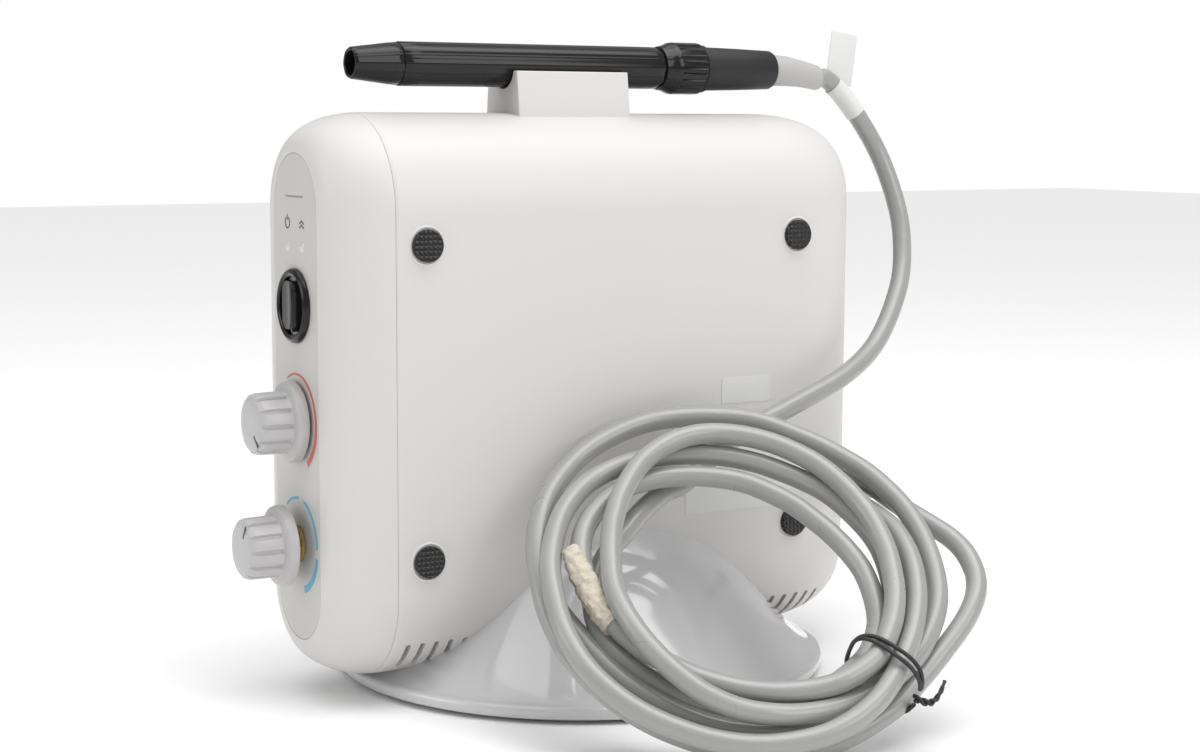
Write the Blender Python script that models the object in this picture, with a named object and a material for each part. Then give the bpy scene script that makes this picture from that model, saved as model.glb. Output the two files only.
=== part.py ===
"""Desktop ultrasonic scaler: a flat casing standing on edge in a round dished stand.

Frame: +Z up, -Y is the front (control panel), +X is the broad side with the rubber feet.
The origin is on the resting surface, under the middle of the object without its cord.
"""
import math

import bmesh
import bpy
from mathutils import Matrix, Vector

MM = 0.001
GAP = 0.3 * MM                 # gap between pieces that touch

# Casing
BODY_LENGTH = 218 * MM         # front to rear
BODY_HEIGHT = 196 * MM
BODY_WIDTH = 74 * MM           # broad side to broad side
BODY_BOTTOM = 7.7 * MM         # height of the casing's lowest line
EDGE_RADIUS = 33.6 * MM        # rounding of the four long edges
FRONT_DEPTH = 25.4 * MM        # how far back the front rounding reaches
REAR_DEPTH = 32.4 * MM
FRONT_MARGIN = 13.0 * MM       # flat front face to the top and bottom of the casing
REAR_MARGIN = 12.4 * MM
REAR_HALF = 17.8 * MM          # half width of the flat rear face
WALL = 2.5 * MM
FRONT_WALL = 3.2 * MM
SEAM_DEPTH = 20.7 * MM         # where the front shell meets the rear shell

# Panel overlay and its controls
OVERLAY_HALF = 18.2 * MM
OVERLAY_THICK = 0.8 * MM
LIP = 0.8 * MM
PANEL_CENTRE = 105.8 * MM
OVERLAY_HEIGHT = 168 * MM
WINDOW_Z = 158.2 * MM
WINDOW_X = 6.2 * MM
WINDOW_RADIUS = 2.1 * MM
SWITCH_Z = 137.9 * MM
SWITCH_BEZEL_RADIUS = 12.9 * MM
SWITCH_BARREL_RADIUS = 11.2 * MM
SWITCH_ROOM_RADIUS = 10.2 * MM
SWITCH_DEPTH = 21 * MM
SWITCH_PROUD = 2.3 * MM
ROCKER_WIDTH = 14.6 * MM
ROCKER_ROUND = 9.2 * MM        # radius that rounds off the rocker's corners
ROCKER_PIVOT_DEPTH = 4.5 * MM
ROCKER_TILT = math.radians(10)
PIN_RADIUS = 0.9 * MM
POWER_Z = 98.0 * MM
WATER_Z = 55.2 * MM
KNOB_SKIRT_RADIUS = 14.0 * MM
KNOB_SKIRT_THICK = 4.2 * MM
KNOB_CAP_RADIUS = 10.8 * MM
KNOB_LENGTH = 16.4 * MM
KNOB_GROOVES = 12
KNOB_BACK = 0.9 * MM           # panel to the back of the power knob
WATER_OPEN = 4.1 * MM          # how much further out the opened water knob stands
SHAFT_RADIUS = 3.0 * MM
BUSH_RADIUS = 4.6 * MM
SHAFT_INTO_KNOB = 9.5 * MM

# Rubber feet on the broad side
FOOT_RADIUS = 5.55 * MM
FOOT_PROUD = 1.8 * MM
FOOT_PITCH_Y = 152 * MM
FOOT_PITCH_Z = 107.4 * MM
FOOT_FIRST_DEPTH = 31.9 * MM

# Ventilation slots along the lower edges
SLOT_PITCH = 5.45 * MM
SLOT_WIDTH = 2.0 * MM
SLOT_TOP = 22.6 * MM
SLOT_INNER_X = 19 * MM
SLOTS_PER_GROUP = 6
SLOT_FIRST_DEPTH = 27.0 * MM
SLOT_LAST_DEPTH = 201.4 * MM

# Stand
STAND_DEPTH = 113.2 * MM       # front face of the casing to the stand's centre
STAND_RADIUS = 90.6 * MM
STAND_BASE = 1.5 * MM
STAND_RIM = 4.7 * MM
DOME_RADIUS = 76.2 * MM
DOME_CENTRE_Z = -12 * MM
DOME_REACH = 60 * MM           # where the dome's ball shape runs out into the dish
POCKET_GAP = 0.4 * MM
PAD_RADIUS = 5.0 * MM
PAD_COUNT = 4
PAD_RING = 82 * MM
PAD_START = math.radians(-18)

# Handpiece, lying along Y in its holder
AXIS_Z = 220.5 * MM
NOSE_TIP = 20.9 * MM
NOSE_JOINT = 38.6 * MM
HANDPIECE_END = 146.9 * MM
NOSE_RADIUS = 5.55 * MM
BODY_RADIUS = 7.7 * MM
BORE_RADIUS = 4.3 * MM
TUBE_WALL = 1.4 * MM
RING_LENGTH = 17.6 * MM
RING_RADIUS = 9.6 * MM
THIN_RING_LENGTH = 2.6 * MM
SLEEVE_LENGTH = 31.1 * MM
SLEEVE_RADIUS = 8.1 * MM
SLEEVE_END_RADIUS = 7.25 * MM
RELIEF_LENGTH = 20.4 * MM
RELIEF_RADIUS = 5.65 * MM
RELIEF_END_RADIUS = 4.7 * MM
RELIEF_DROOP = 2.8 * MM
SPIGOT_RADIUS = 3.8 * MM
SPIGOT_REACH = 13 * MM

# Holder on top of the casing
HOLDER_DEPTH = 80.4 * MM
HOLDER_LENGTH = 45.8 * MM
HOLDER_TOP = 218.5 * MM
HOLDER_BOTTOM_HALF = 13.8 * MM
HOLDER_TOP_HALF = 10.7 * MM
HOLDER_GROOVE_GAP = 0.3 * MM
SCREW_RADIUS = 1.5 * MM
SCREW_HEAD_RADIUS = 2.6 * MM

# Rear connections
REAR_FLANGE = 2.6 * MM
GLAND_X = -9 * MM
GLAND_Z = 50 * MM
GLAND_RADIUS = 8 * MM
GLAND_RELIEF = 20 * MM
WATER_INLET_Z = 92 * MM
SOCKET_Z = 120 * MM
MAINS_Z = 154 * MM

# Cord
CORD_RADIUS = 3.6 * MM
COIL_CENTRE = Vector((103.7, 112.1, 51.6)) * MM   # depth from the front face in the second value
COIL_LEAN = math.radians(48.6)
COIL_TURN = math.radians(-20.6)
COIL_OUTER = 72.5 * MM
COIL_INNER = 40.0 * MM
COIL_HALF_THICK = 8.3 * MM
COIL_SQUARE = 0.62             # how square the coil's section is: 1 is an ellipse

KNOB_FRONT_REACH = KNOB_BACK + WATER_OPEN + KNOB_LENGTH
GLAND_END = BODY_LENGTH + GAP + REAR_FLANGE + GLAND_RELIEF
FRONT_Y = -0.5 * (GLAND_END - KNOB_FRONT_REACH)   # Y of the casing's front face
BODY_TOP = BODY_BOTTOM + BODY_HEIGHT


def clear_scene():
    for obj in list(bpy.data.objects):
        bpy.data.objects.remove(obj, do_unlink=True)


def material(name, colour, roughness, metallic=0.0):
    mat = bpy.data.materials.new(name)
    mat.use_nodes = True
    shader = mat.node_tree.nodes["Principled BSDF"]
    shader.inputs["Base Color"].default_value = (*colour, 1.0)
    shader.inputs["Roughness"].default_value = roughness
    shader.inputs["Metallic"].default_value = metallic
    mat.diffuse_color = (*colour, 1.0)
    return mat


def make_materials():
    return {
        "casing": material("white_casing", (0.83, 0.82, 0.81), 0.42),
        "gloss": material("grey_gloss", (0.62, 0.61, 0.64), 0.15),
        "panel": material("panel_film", (0.66, 0.65, 0.61), 0.4),
        "knob": material("knob_plastic", (0.66, 0.65, 0.65), 0.35),
        "black": material("black_plastic", (0.02, 0.02, 0.022), 0.25),
        "black_matte": material("black_sleeve", (0.03, 0.03, 0.032), 0.6),
        "rubber": material("black_rubber", (0.02, 0.02, 0.02), 0.8),
        "cord": material("grey_cord", (0.5, 0.5, 0.49), 0.4),
        "grey": material("grey_relief", (0.6, 0.58, 0.56), 0.5),
        "paper": material("white_label", (0.86, 0.86, 0.85), 0.5),
        "steel": material("steel", (0.6, 0.6, 0.6), 0.35, 1.0),
        "aluminium": material("aluminium", (0.75, 0.75, 0.76), 0.4, 1.0),
        "brass": material("brass", (0.75, 0.55, 0.25), 0.3, 1.0),
        "copper": material("copper", (0.72, 0.35, 0.18), 0.35, 1.0),
        "board": material("board_green", (0.03, 0.18, 0.07), 0.5),
        "lens": material("clear_lens", (0.8, 0.82, 0.8), 0.15),
        "tube": material("clear_tube", (0.7, 0.75, 0.8), 0.3),
    }


def add_object(name, bm, mat, smooth=True):
    bmesh.ops.recalc_face_normals(bm, faces=bm.faces)
    mesh = bpy.data.meshes.new(name)
    bm.to_mesh(mesh)
    bm.free()
    if smooth:
        mesh.shade_smooth()
        mesh.set_sharp_from_angle(angle=math.radians(35))
    obj = bpy.data.objects.new(name, mesh)
    bpy.context.collection.objects.link(obj)
    mesh.materials.append(mat)
    return obj


def place(obj, x=0.0, depth=0.0, z=0.0):
    """Put an object at a depth behind the casing's front face."""
    obj.location = (x, FRONT_Y + depth, z)
    return obj


def point(x, depth, z):
    return Vector((x, FRONT_Y + depth, z))


def hide_cutter(obj):
    obj.hide_render = True
    obj.display_type = "WIRE"
    return obj


def cut(obj, cutter):
    mod = obj.modifiers.new("cut_" + cutter.name, "BOOLEAN")
    mod.operation = "DIFFERENCE"
    mod.object = cutter


def join_bodies(obj, other):
    mod = obj.modifiers.new("join_" + other.name, "BOOLEAN")
    mod.operation = "UNION"
    mod.object = other
    hide_cutter(other)


def loft(loops, closed=False):
    """Solid through loops of equally many points; the ends are capped unless it closes on itself."""
    bm = bmesh.new()
    rings = [[bm.verts.new(p) for p in loop] for loop in loops]
    count = len(rings[0])
    pairs = list(zip(rings, rings[1:]))
    if closed:
        pairs.append((rings[-1], rings[0]))
    for low, high in pairs:
        for i in range(count):
            j = (i + 1) % count
            bm.faces.new((low[i], low[j], high[j], high[i]))
    if not closed:
        bm.faces.new(list(reversed(rings[0])))
        bm.faces.new(rings[-1])
    return bm


def circle(radius, height, count):
    angles = [2 * math.pi * i / count for i in range(count)]
    return [(radius * math.cos(a), radius * math.sin(a), height) for a in angles]


def turned(name, profile, mat, count=32, hollow=False):
    """Turn (radius, height) points about Z. A hollow profile is a closed outline off the axis."""
    bm = loft([circle(r, h, count) for r, h in profile], closed=hollow)
    return add_object(name, bm, mat)


def along_y(obj):
    """Turn a piece made along +Z so that it points along +Y."""
    obj.rotation_euler = (-math.pi / 2, 0, 0)
    return obj


def box_mesh(size, centre=(0, 0, 0)):
    bm = bmesh.new()
    bmesh.ops.create_cube(bm, size=1.0)
    bmesh.ops.scale(bm, vec=size, verts=bm.verts)
    bmesh.ops.translate(bm, vec=centre, verts=bm.verts)
    return bm


def bevelled_box(name, size, mat, bevel, x, depth, z):
    obj = place(add_object(name, box_mesh(size), mat, smooth=False), x, depth, z)
    mod = obj.modifiers.new("bevel", "BEVEL")
    mod.width = bevel
    mod.segments = 2
    return obj


def rounded_loop(half_width, low, high, radius, y, steps=5):
    """Rounded rectangle across X and Z at one value of Y."""
    radius = min(radius, half_width * 0.999, 0.499 * (high - low))
    corners = (
        (half_width - radius, high - radius, 0.0),
        (radius - half_width, high - radius, 0.5 * math.pi),
        (radius - half_width, low + radius, math.pi),
        (half_width - radius, low + radius, 1.5 * math.pi),
    )
    points = []
    for cx, cz, start in corners:
        for i in range(steps + 1):
            a = start + 0.5 * math.pi * i / steps
            points.append((cx + radius * math.cos(a), y, cz + radius * math.sin(a)))
    return points


def casing_loop(depth, inset=0.0, front_inset=0.0):
    """The casing's outline at a depth, pulled in by inset (a negative inset stands proud)."""
    face_half = OVERLAY_HALF + GAP + LIP
    front = (depth - front_inset) / (FRONT_DEPTH - front_inset)
    rear = (BODY_LENGTH - inset - depth) / (REAR_DEPTH - inset)
    if front < 1:
        half, margin, share = face_half, FRONT_MARGIN, max(front, 0.0)
    else:
        half, margin, share = REAR_HALF, REAR_MARGIN, min(max(rear, 0.0), 1.0)
    grow = math.sqrt(1 - (1 - share) ** 2)
    half_width = half + (0.5 * BODY_WIDTH - half) * grow - inset
    edge = margin * (1 - grow) + inset
    radius = half + (EDGE_RADIUS - half) * grow - inset
    return rounded_loop(half_width, BODY_BOTTOM + edge, BODY_TOP - edge, radius, FRONT_Y + depth)


def eased(start, end, count, at_start=True):
    """Depths from start to end, closer together at the rounded end."""
    span = end - start
    turns = [0.5 * math.pi * i / count for i in range(count + 1)]
    if at_start:
        return [start + span * (1 - math.cos(t)) for t in turns]
    return [start + span * math.sin(t) for t in turns]


def casing_solid(name, mat, proud):
    """The whole casing as one body standing proud by a clearance, used to cut its neighbours."""
    depths = eased(-proud, FRONT_DEPTH, 6) + eased(BODY_LENGTH - REAR_DEPTH, BODY_LENGTH + proud, 6, False)
    loops = [casing_loop(d, -proud, -proud) for d in depths]
    return hide_cutter(add_object(name, loft(loops), mat))


def make_front_shell(mats):
    seam = SEAM_DEPTH - 0.5 * GAP
    outer = [casing_loop(d) for d in eased(0.0, FRONT_DEPTH, 6) if d < seam] + [casing_loop(seam)]
    inner_depths = [d for d in eased(FRONT_WALL, FRONT_DEPTH, 4) if d < seam]
    inner = [casing_loop(d, WALL, FRONT_WALL) for d in inner_depths] + [casing_loop(seam, WALL, FRONT_WALL)]
    shell = add_object("front_shell", loft(outer + inner[::-1]), mats["casing"])
    recess = OVERLAY_THICK + GAP
    outline = [rounded_loop(OVERLAY_HALF + GAP, PANEL_CENTRE - 0.5 * OVERLAY_HEIGHT - GAP,
                            PANEL_CENTRE + 0.5 * OVERLAY_HEIGHT + GAP, OVERLAY_HALF, FRONT_Y + y, 8)
               for y in (-recess, recess)]
    cut(shell, hide_cutter(add_object("overlay_recess_cutter", loft(outline), mats["casing"])))
    for name, x, z, radius in panel_holes():
        cut(shell, hide_cutter(panel_plug(name + "_hole_cutter", x, z, radius, mats)))
    return shell


def panel_holes():
    """Name, X, Z and radius of each round hole through the overlay and the front shell."""
    return (
        ("switch", 0.0, SWITCH_Z, SWITCH_BARREL_RADIUS + GAP),
        ("power", 0.0, POWER_Z, BUSH_RADIUS + GAP),
        ("water", 0.0, WATER_Z, BUSH_RADIUS + GAP),
        ("window_left", -WINDOW_X, WINDOW_Z, WINDOW_RADIUS + GAP),
        ("window_right", WINDOW_X, WINDOW_Z, WINDOW_RADIUS + GAP),
    )


def panel_plug(name, x, z, radius, mats):
    plug = turned(name, [(radius, -8 * MM), (radius, 8 * MM)], mats["casing"], 24)
    return place(along_y(plug), x, 0.0, z)


def make_rear_shell(mats, proud_screws):
    seam = SEAM_DEPTH + 0.5 * GAP
    outer_depths = [seam] + [d for d in eased(0.0, FRONT_DEPTH, 6) if d > seam]
    outer_depths += eased(BODY_LENGTH - REAR_DEPTH, BODY_LENGTH, 6, False)
    inner_end = BODY_LENGTH - WALL
    inner_depths = [seam, FRONT_DEPTH] + eased(BODY_LENGTH - REAR_DEPTH, inner_end, 4, False)
    outer = [casing_loop(d) for d in outer_depths]
    inner = [casing_loop(d, WALL, FRONT_WALL) for d in inner_depths]
    shell = add_object("rear_shell", loft(outer[::-1] + inner), mats["casing"])
    cut(shell, make_slot_cutter(mats))
    for name, x, z, radius in rear_holes():
        hole = turned(name + "_hole_cutter", [(radius, -8 * MM), (radius, 8 * MM)], mats["casing"], 24)
        cut(shell, hide_cutter(place(along_y(hole), x, BODY_LENGTH, z)))
    mains = add_object("mains_hole_cutter", box_mesh((27.6 * MM, 16 * MM, 20.6 * MM)), mats["casing"])
    cut(shell, hide_cutter(place(mains, 0.0, BODY_LENGTH, MAINS_Z)))
    for screw_depth in proud_screws:
        radius = SCREW_RADIUS + GAP
        hole = turned("holder_screw_shell_cutter", [(radius, -12 * MM), (radius, 4 * MM)], mats["casing"], 16)
        cut(shell, hide_cutter(place(hole, 0.0, screw_depth, BODY_TOP)))
    return shell


def rear_holes():
    """Name, X, Z and radius of each round hole through the rear face."""
    return (
        ("gland", GLAND_X, GLAND_Z, 5.5 * MM + GAP),
        ("inlet", 0.0, WATER_INLET_Z, 4.5 * MM + GAP),
        ("socket", 0.0, SOCKET_Z, 6.0 * MM + GAP),
    )


def slot_depths():
    front = [SLOT_FIRST_DEPTH + i * SLOT_PITCH for i in range(SLOTS_PER_GROUP)]
    rear = [SLOT_LAST_DEPTH - i * SLOT_PITCH for i in range(SLOTS_PER_GROUP)]
    return front + rear


def make_slot_cutter(mats):
    """All the ventilation slots as one set of separate upright slabs, low on both broad sides."""
    bm = bmesh.new()
    height = SLOT_TOP - BODY_BOTTOM
    reach = 0.5 * BODY_WIDTH + 2 * MM - SLOT_INNER_X
    for depth in slot_depths():
        for side in (-1, 1):
            slab = box_mesh((reach, SLOT_WIDTH, height),
                            (side * (SLOT_INNER_X + 0.5 * reach), depth, BODY_BOTTOM + 0.5 * height))
            mesh = bpy.data.meshes.new("slot")
            slab.to_mesh(mesh)
            slab.free()
            bm.from_mesh(mesh)
            bpy.data.meshes.remove(mesh)
    return hide_cutter(place(add_object("slot_cutter", bm, mats["casing"], smooth=False)))


def make_overlay(mats):
    low = PANEL_CENTRE - 0.5 * OVERLAY_HEIGHT
    high = PANEL_CENTRE + 0.5 * OVERLAY_HEIGHT
    loops = [rounded_loop(OVERLAY_HALF, low, high, OVERLAY_HALF, FRONT_Y + y, 8) for y in (0.0, OVERLAY_THICK)]
    overlay = add_object("panel_overlay", loft(loops), mats["panel"])
    for name, x, z, radius in panel_holes():
        cut(overlay, bpy.data.objects[name + "_hole_cutter"])


def make_indicators(mats):
    for side, x in (("left", -WINDOW_X), ("right", WINDOW_X)):
        lens = turned("indicator_lens_" + side, [
            (WINDOW_RADIUS, 0.1 * MM), (WINDOW_RADIUS, FRONT_WALL + GAP), (3.0 * MM, FRONT_WALL + GAP),
            (3.0 * MM, FRONT_WALL + 1.5 * MM)], mats["lens"], 20)
        place(along_y(lens), x, 0.0, WINDOW_Z)


def make_switch(mats):
    bezel_back = -GAP
    body = turned("switch_body", [
        (SWITCH_BEZEL_RADIUS - 1.6 * MM, -SWITCH_PROUD), (SWITCH_BEZEL_RADIUS, -SWITCH_PROUD + 1.2 * MM),
        (SWITCH_BEZEL_RADIUS, bezel_back), (SWITCH_BARREL_RADIUS, bezel_back),
        (SWITCH_BARREL_RADIUS, SWITCH_DEPTH)], mats["black"], 40)
    place(along_y(body), 0.0, 0.0, SWITCH_Z)
    room = turned("switch_room_cutter", [(SWITCH_ROOM_RADIUS, -9 * MM), (SWITCH_ROOM_RADIUS, 12 * MM)],
                  mats["black"], 32)
    cut(body, hide_cutter(place(along_y(room), 0.0, 0.0, SWITCH_Z)))
    hole_half = SWITCH_BARREL_RADIUS + 1 * MM
    pin_half = SWITCH_BARREL_RADIUS - 0.2 * MM
    pin_hole = turned("switch_pin_cutter", [(PIN_RADIUS + GAP, -hole_half), (PIN_RADIUS + GAP, hole_half)],
                      mats["black"], 16)
    place(pin_hole, 0.0, ROCKER_PIVOT_DEPTH, SWITCH_Z)
    cut(body, hide_cutter(pin_hole))
    pin = turned("rocker_pin", [(PIN_RADIUS, -pin_half), (PIN_RADIUS, pin_half)], mats["steel"], 16)
    place(pin, 0.0, ROCKER_PIVOT_DEPTH, SWITCH_Z)
    make_rocker(mats, pin_hole)


def rocker_slices():
    """Half width and height of the rocker's outline, from its foot to its top."""
    heights = [share * (ROCKER_ROUND - 0.2 * MM) for share in (0.62, 0.8, 0.92, 1.0)]
    upper = [(min(0.5 * ROCKER_WIDTH, math.sqrt(ROCKER_ROUND ** 2 - z * z)), z) for z in heights]
    return [(half, -z) for half, z in reversed(upper)] + upper


def make_rocker(mats, pin_hole):
    """A shallow-vee paddle that rocks about an upright pin; its left half is pressed in."""
    pivot = bpy.data.objects.new("rocker_pivot", None)
    bpy.context.collection.objects.link(pivot)
    place(pivot, 0.0, ROCKER_PIVOT_DEPTH, SWITCH_Z)
    pivot.rotation_euler = (0, 0, -ROCKER_TILT)
    front = -(ROCKER_PIVOT_DEPTH + SWITCH_PROUD + 0.6 * MM)
    loops = []
    for half, z in rocker_slices():
        reach = (half - 0.5 * MM) / (0.5 * ROCKER_WIDTH)
        wide, foot = reach * 0.5 * ROCKER_WIDTH, min(2.4 * MM, reach * 3 * MM)
        loops.append([(-wide, front, z), (0, front + 1.3 * MM, z), (wide, front, z),
                      (wide * 0.86, front + 3.5 * MM, z), (foot, 2.4 * MM, z), (-foot, 2.4 * MM, z),
                      (-wide * 0.86, front + 3.5 * MM, z)])
    rocker = add_object("rocker", loft(loops), mats["black"], smooth=False)
    rocker.parent = pivot
    cut(rocker, pin_hole)


def lobed_loop(radius, groove, y, count=KNOB_GROOVES, per=3):
    """A round outline with narrow grooves between broad lands."""
    points = []
    total = count * per
    for i in range(total):
        a = 2 * math.pi * i / total
        r = radius - groove if i % per == 0 else radius
        points.append((r * math.cos(a), r * math.sin(a), y))
    return points


def make_knob(name, mats, depth, z, mover):
    """A control knob: a round skirt and a grooved cap with a domed front, made along its own Z."""
    skirt = KNOB_SKIRT_RADIUS
    cap = KNOB_CAP_RADIUS
    front = KNOB_LENGTH
    stations = (
        (skirt, 0.0, 0.0), (skirt, 0.0, KNOB_SKIRT_THICK - 1.4 * MM),
        (skirt - 1.2 * MM, 0.0, KNOB_SKIRT_THICK), (cap, 0.6 * MM, KNOB_SKIRT_THICK + 0.6 * MM),
        (cap - 0.2 * MM, 0.6 * MM, front - 2.0 * MM), (cap - 1.6 * MM, 0.0, front - 0.4 * MM),
        (cap - 5.5 * MM, 0.0, front),
    )
    knob = add_object(name, loft([lobed_loop(r, g, h) for r, g, h in stations]), mats["knob"])
    knob.parent = mover
    knob.rotation_euler = (math.pi / 2, 0, 0)
    bore = turned(name + "_bore_cutter", [(SHAFT_RADIUS + 0.05 * MM, -1 * MM),
                                          (SHAFT_RADIUS + 0.05 * MM, SHAFT_INTO_KNOB + GAP)], mats["knob"], 20)
    bush = turned(name + "_bush_cutter", [(BUSH_RADIUS + 2.6 * MM, -1 * MM),
                                          (BUSH_RADIUS + 2.6 * MM, 3.0 * MM)], mats["knob"], 20)
    for cutter in (bore, bush):
        cutter.parent = mover
        cutter.rotation_euler = (math.pi / 2, 0, 0)
        cut(knob, hide_cutter(cutter))
    place(mover, 0.0, depth, z)


def new_mover(name):
    mover = bpy.data.objects.new(name, None)
    bpy.context.collection.objects.link(mover)
    return mover


def make_power_control(mats):
    mover = new_mover("power_knob_axis")
    make_knob("power_knob", mats, -KNOB_BACK, POWER_Z, mover)
    shaft_front = -KNOB_BACK - SHAFT_INTO_KNOB
    shaft = turned("power_shaft", [(SHAFT_RADIUS, shaft_front), (SHAFT_RADIUS, 13 * MM)], mats["aluminium"], 24)
    place(along_y(shaft), 0.0, 0.0, POWER_Z)
    bore = SHAFT_RADIUS + GAP
    back = FRONT_WALL + GAP
    control = turned("power_control", [
        (bore, -0.8 * MM), (BUSH_RADIUS, -0.8 * MM), (BUSH_RADIUS, back), (8.2 * MM, back),
        (8.2 * MM, 16 * MM), (2 * MM, 16 * MM), (2 * MM, 13.4 * MM), (bore, 13.4 * MM)],
        mats["steel"], 24, hollow=True)
    place(along_y(control), 0.0, 0.0, POWER_Z)
    nut = turned("power_nut", [
        (BUSH_RADIUS + GAP, -GAP - 1.6 * MM), (BUSH_RADIUS + 2.0 * MM, -GAP - 1.6 * MM),
        (BUSH_RADIUS + 2.0 * MM, -GAP), (BUSH_RADIUS + GAP, -GAP)], mats["steel"], 24, hollow=True)
    place(along_y(nut), 0.0, 0.0, POWER_Z)


def make_water_control(mats):
    mover = new_mover("water_knob_axis")
    knob_depth = -KNOB_BACK - WATER_OPEN
    make_knob("water_knob", mats, knob_depth, WATER_Z, mover)
    stem_front = knob_depth - SHAFT_INTO_KNOB
    seat = 20 * MM
    stem_back = seat - WATER_OPEN - 1.5 * MM
    stem = turned("water_stem", [(SHAFT_RADIUS, stem_front), (SHAFT_RADIUS, stem_back)], mats["brass"], 24)
    place(along_y(stem), 0.0, 0.0, WATER_Z)
    washer = turned("valve_washer", [(2.6 * MM, stem_back + GAP), (2.6 * MM, stem_back + 1.2 * MM)],
                    mats["rubber"], 20)
    place(along_y(washer), 0.0, 0.0, WATER_Z)
    bore = SHAFT_RADIUS + GAP
    back = FRONT_WALL + GAP
    valve = turned("water_valve", [
        (bore, -2.0 * MM), (BUSH_RADIUS, -2.0 * MM), (BUSH_RADIUS, back), (9.0 * MM, back),
        (9.0 * MM, 26 * MM), (1.5 * MM, 26 * MM), (1.5 * MM, seat), (bore, seat)],
        mats["brass"], 24, hollow=True)
    place(along_y(valve), 0.0, 0.0, WATER_Z)
    nut = turned("water_nut", [
        (BUSH_RADIUS + GAP, -GAP - 1.2 * MM), (BUSH_RADIUS + 2.0 * MM, -GAP - 1.2 * MM),
        (BUSH_RADIUS + 2.0 * MM, -GAP), (BUSH_RADIUS + GAP, -GAP)], mats["brass"], 24, hollow=True)
    place(along_y(nut), 0.0, 0.0, WATER_Z)


def make_side_feet(mats):
    face = 0.5 * BODY_WIDTH + GAP
    low = PANEL_CENTRE - 0.5 * FOOT_PITCH_Z
    for i in range(4):
        foot = turned(f"side_foot_{i + 1}", [
            (FOOT_RADIUS, 0.0), (FOOT_RADIUS, FOOT_PROUD - 0.4 * MM), (FOOT_RADIUS - 0.4 * MM, FOOT_PROUD)],
            mats["rubber"], 28)
        foot.rotation_euler = (0, math.pi / 2, 0)
        place(foot, face, FOOT_FIRST_DEPTH + (i % 2) * FOOT_PITCH_Y, low + (i // 2) * FOOT_PITCH_Z)


def make_labels(mats):
    x = 0.5 * BODY_WIDTH + GAP + 0.1 * MM
    labels = (("check_label", 151.0, 172.6, 98.5, 108.0), ("rating_label", 135.6, 187.0, 58.8, 86.3))
    for name, front, back, low, high in labels:
        bm = box_mesh((0.2 * MM, (back - front) * MM, (high - low) * MM))
        place(add_object(name, bm, mats["paper"], smooth=False), x, 0.5 * (front + back) * MM, 0.5 * (low + high) * MM)


def stand_profile():
    """Outer (radius, height) outline of the stand, from the top of its dome to its rim."""
    steps = 7
    points = []
    for i in range(1, steps + 1):
        r = DOME_REACH * i / steps
        points.append((r, DOME_CENTRE_Z + math.sqrt(DOME_RADIUS ** 2 - r * r)))
    r, z = points[-1]
    rim_z = STAND_BASE + STAND_RIM
    fall = r / (z - DOME_CENTRE_Z)
    knee = r + (z - rim_z - 1.5 * MM) / fall
    for i in range(1, 6):
        t = i / 5
        points.append((
            (1 - t) ** 2 * r + 2 * t * (1 - t) * knee + t * t * (STAND_RADIUS - 2 * MM),
            (1 - t) ** 2 * z + 2 * t * (1 - t) * (rim_z + 1.5 * MM) + t * t * rim_z))
    return points


def make_stand(mats, pocket):
    rim = [(STAND_RADIUS - 0.6 * MM, STAND_BASE + STAND_RIM - 0.6 * MM), (STAND_RADIUS, STAND_BASE + 0.5 * STAND_RIM),
           (STAND_RADIUS - 0.6 * MM, STAND_BASE + 0.6 * MM), (STAND_RADIUS - 2 * MM, STAND_BASE)]
    profile = [(0.5 * MM, DOME_CENTRE_Z + DOME_RADIUS)] + stand_profile() + rim
    stand = turned("stand", profile, mats["gloss"], 48)
    place(stand, 0.0, STAND_DEPTH, 0.0)
    cut(stand, pocket)


def make_stand_pads(mats):
    for i in range(PAD_COUNT):
        a = PAD_START + 2 * math.pi * i / PAD_COUNT
        pad = turned(f"stand_pad_{i + 1}", [(PAD_RADIUS, 0.0), (PAD_RADIUS, STAND_BASE - GAP)], mats["rubber"], 20)
        place(pad, PAD_RING * math.cos(a), STAND_DEPTH + PAD_RING * math.sin(a), 0.0)


def octagon_loop(radius, y, softness=0.018, count=24):
    """An eight-sided section with soft corners, across X and Z."""
    points = []
    for i in range(count):
        a = 2 * math.pi * i / count
        r = radius * (1 + softness * math.cos(8 * a))
        points.append((r * math.cos(a), y, r * math.sin(a)))
    return points


def round_loop(radius, y, count=24, z=0.0):
    angles = [2 * math.pi * i / count for i in range(count)]
    return [(radius * math.cos(a), y, z + radius * math.sin(a)) for a in angles]


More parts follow.
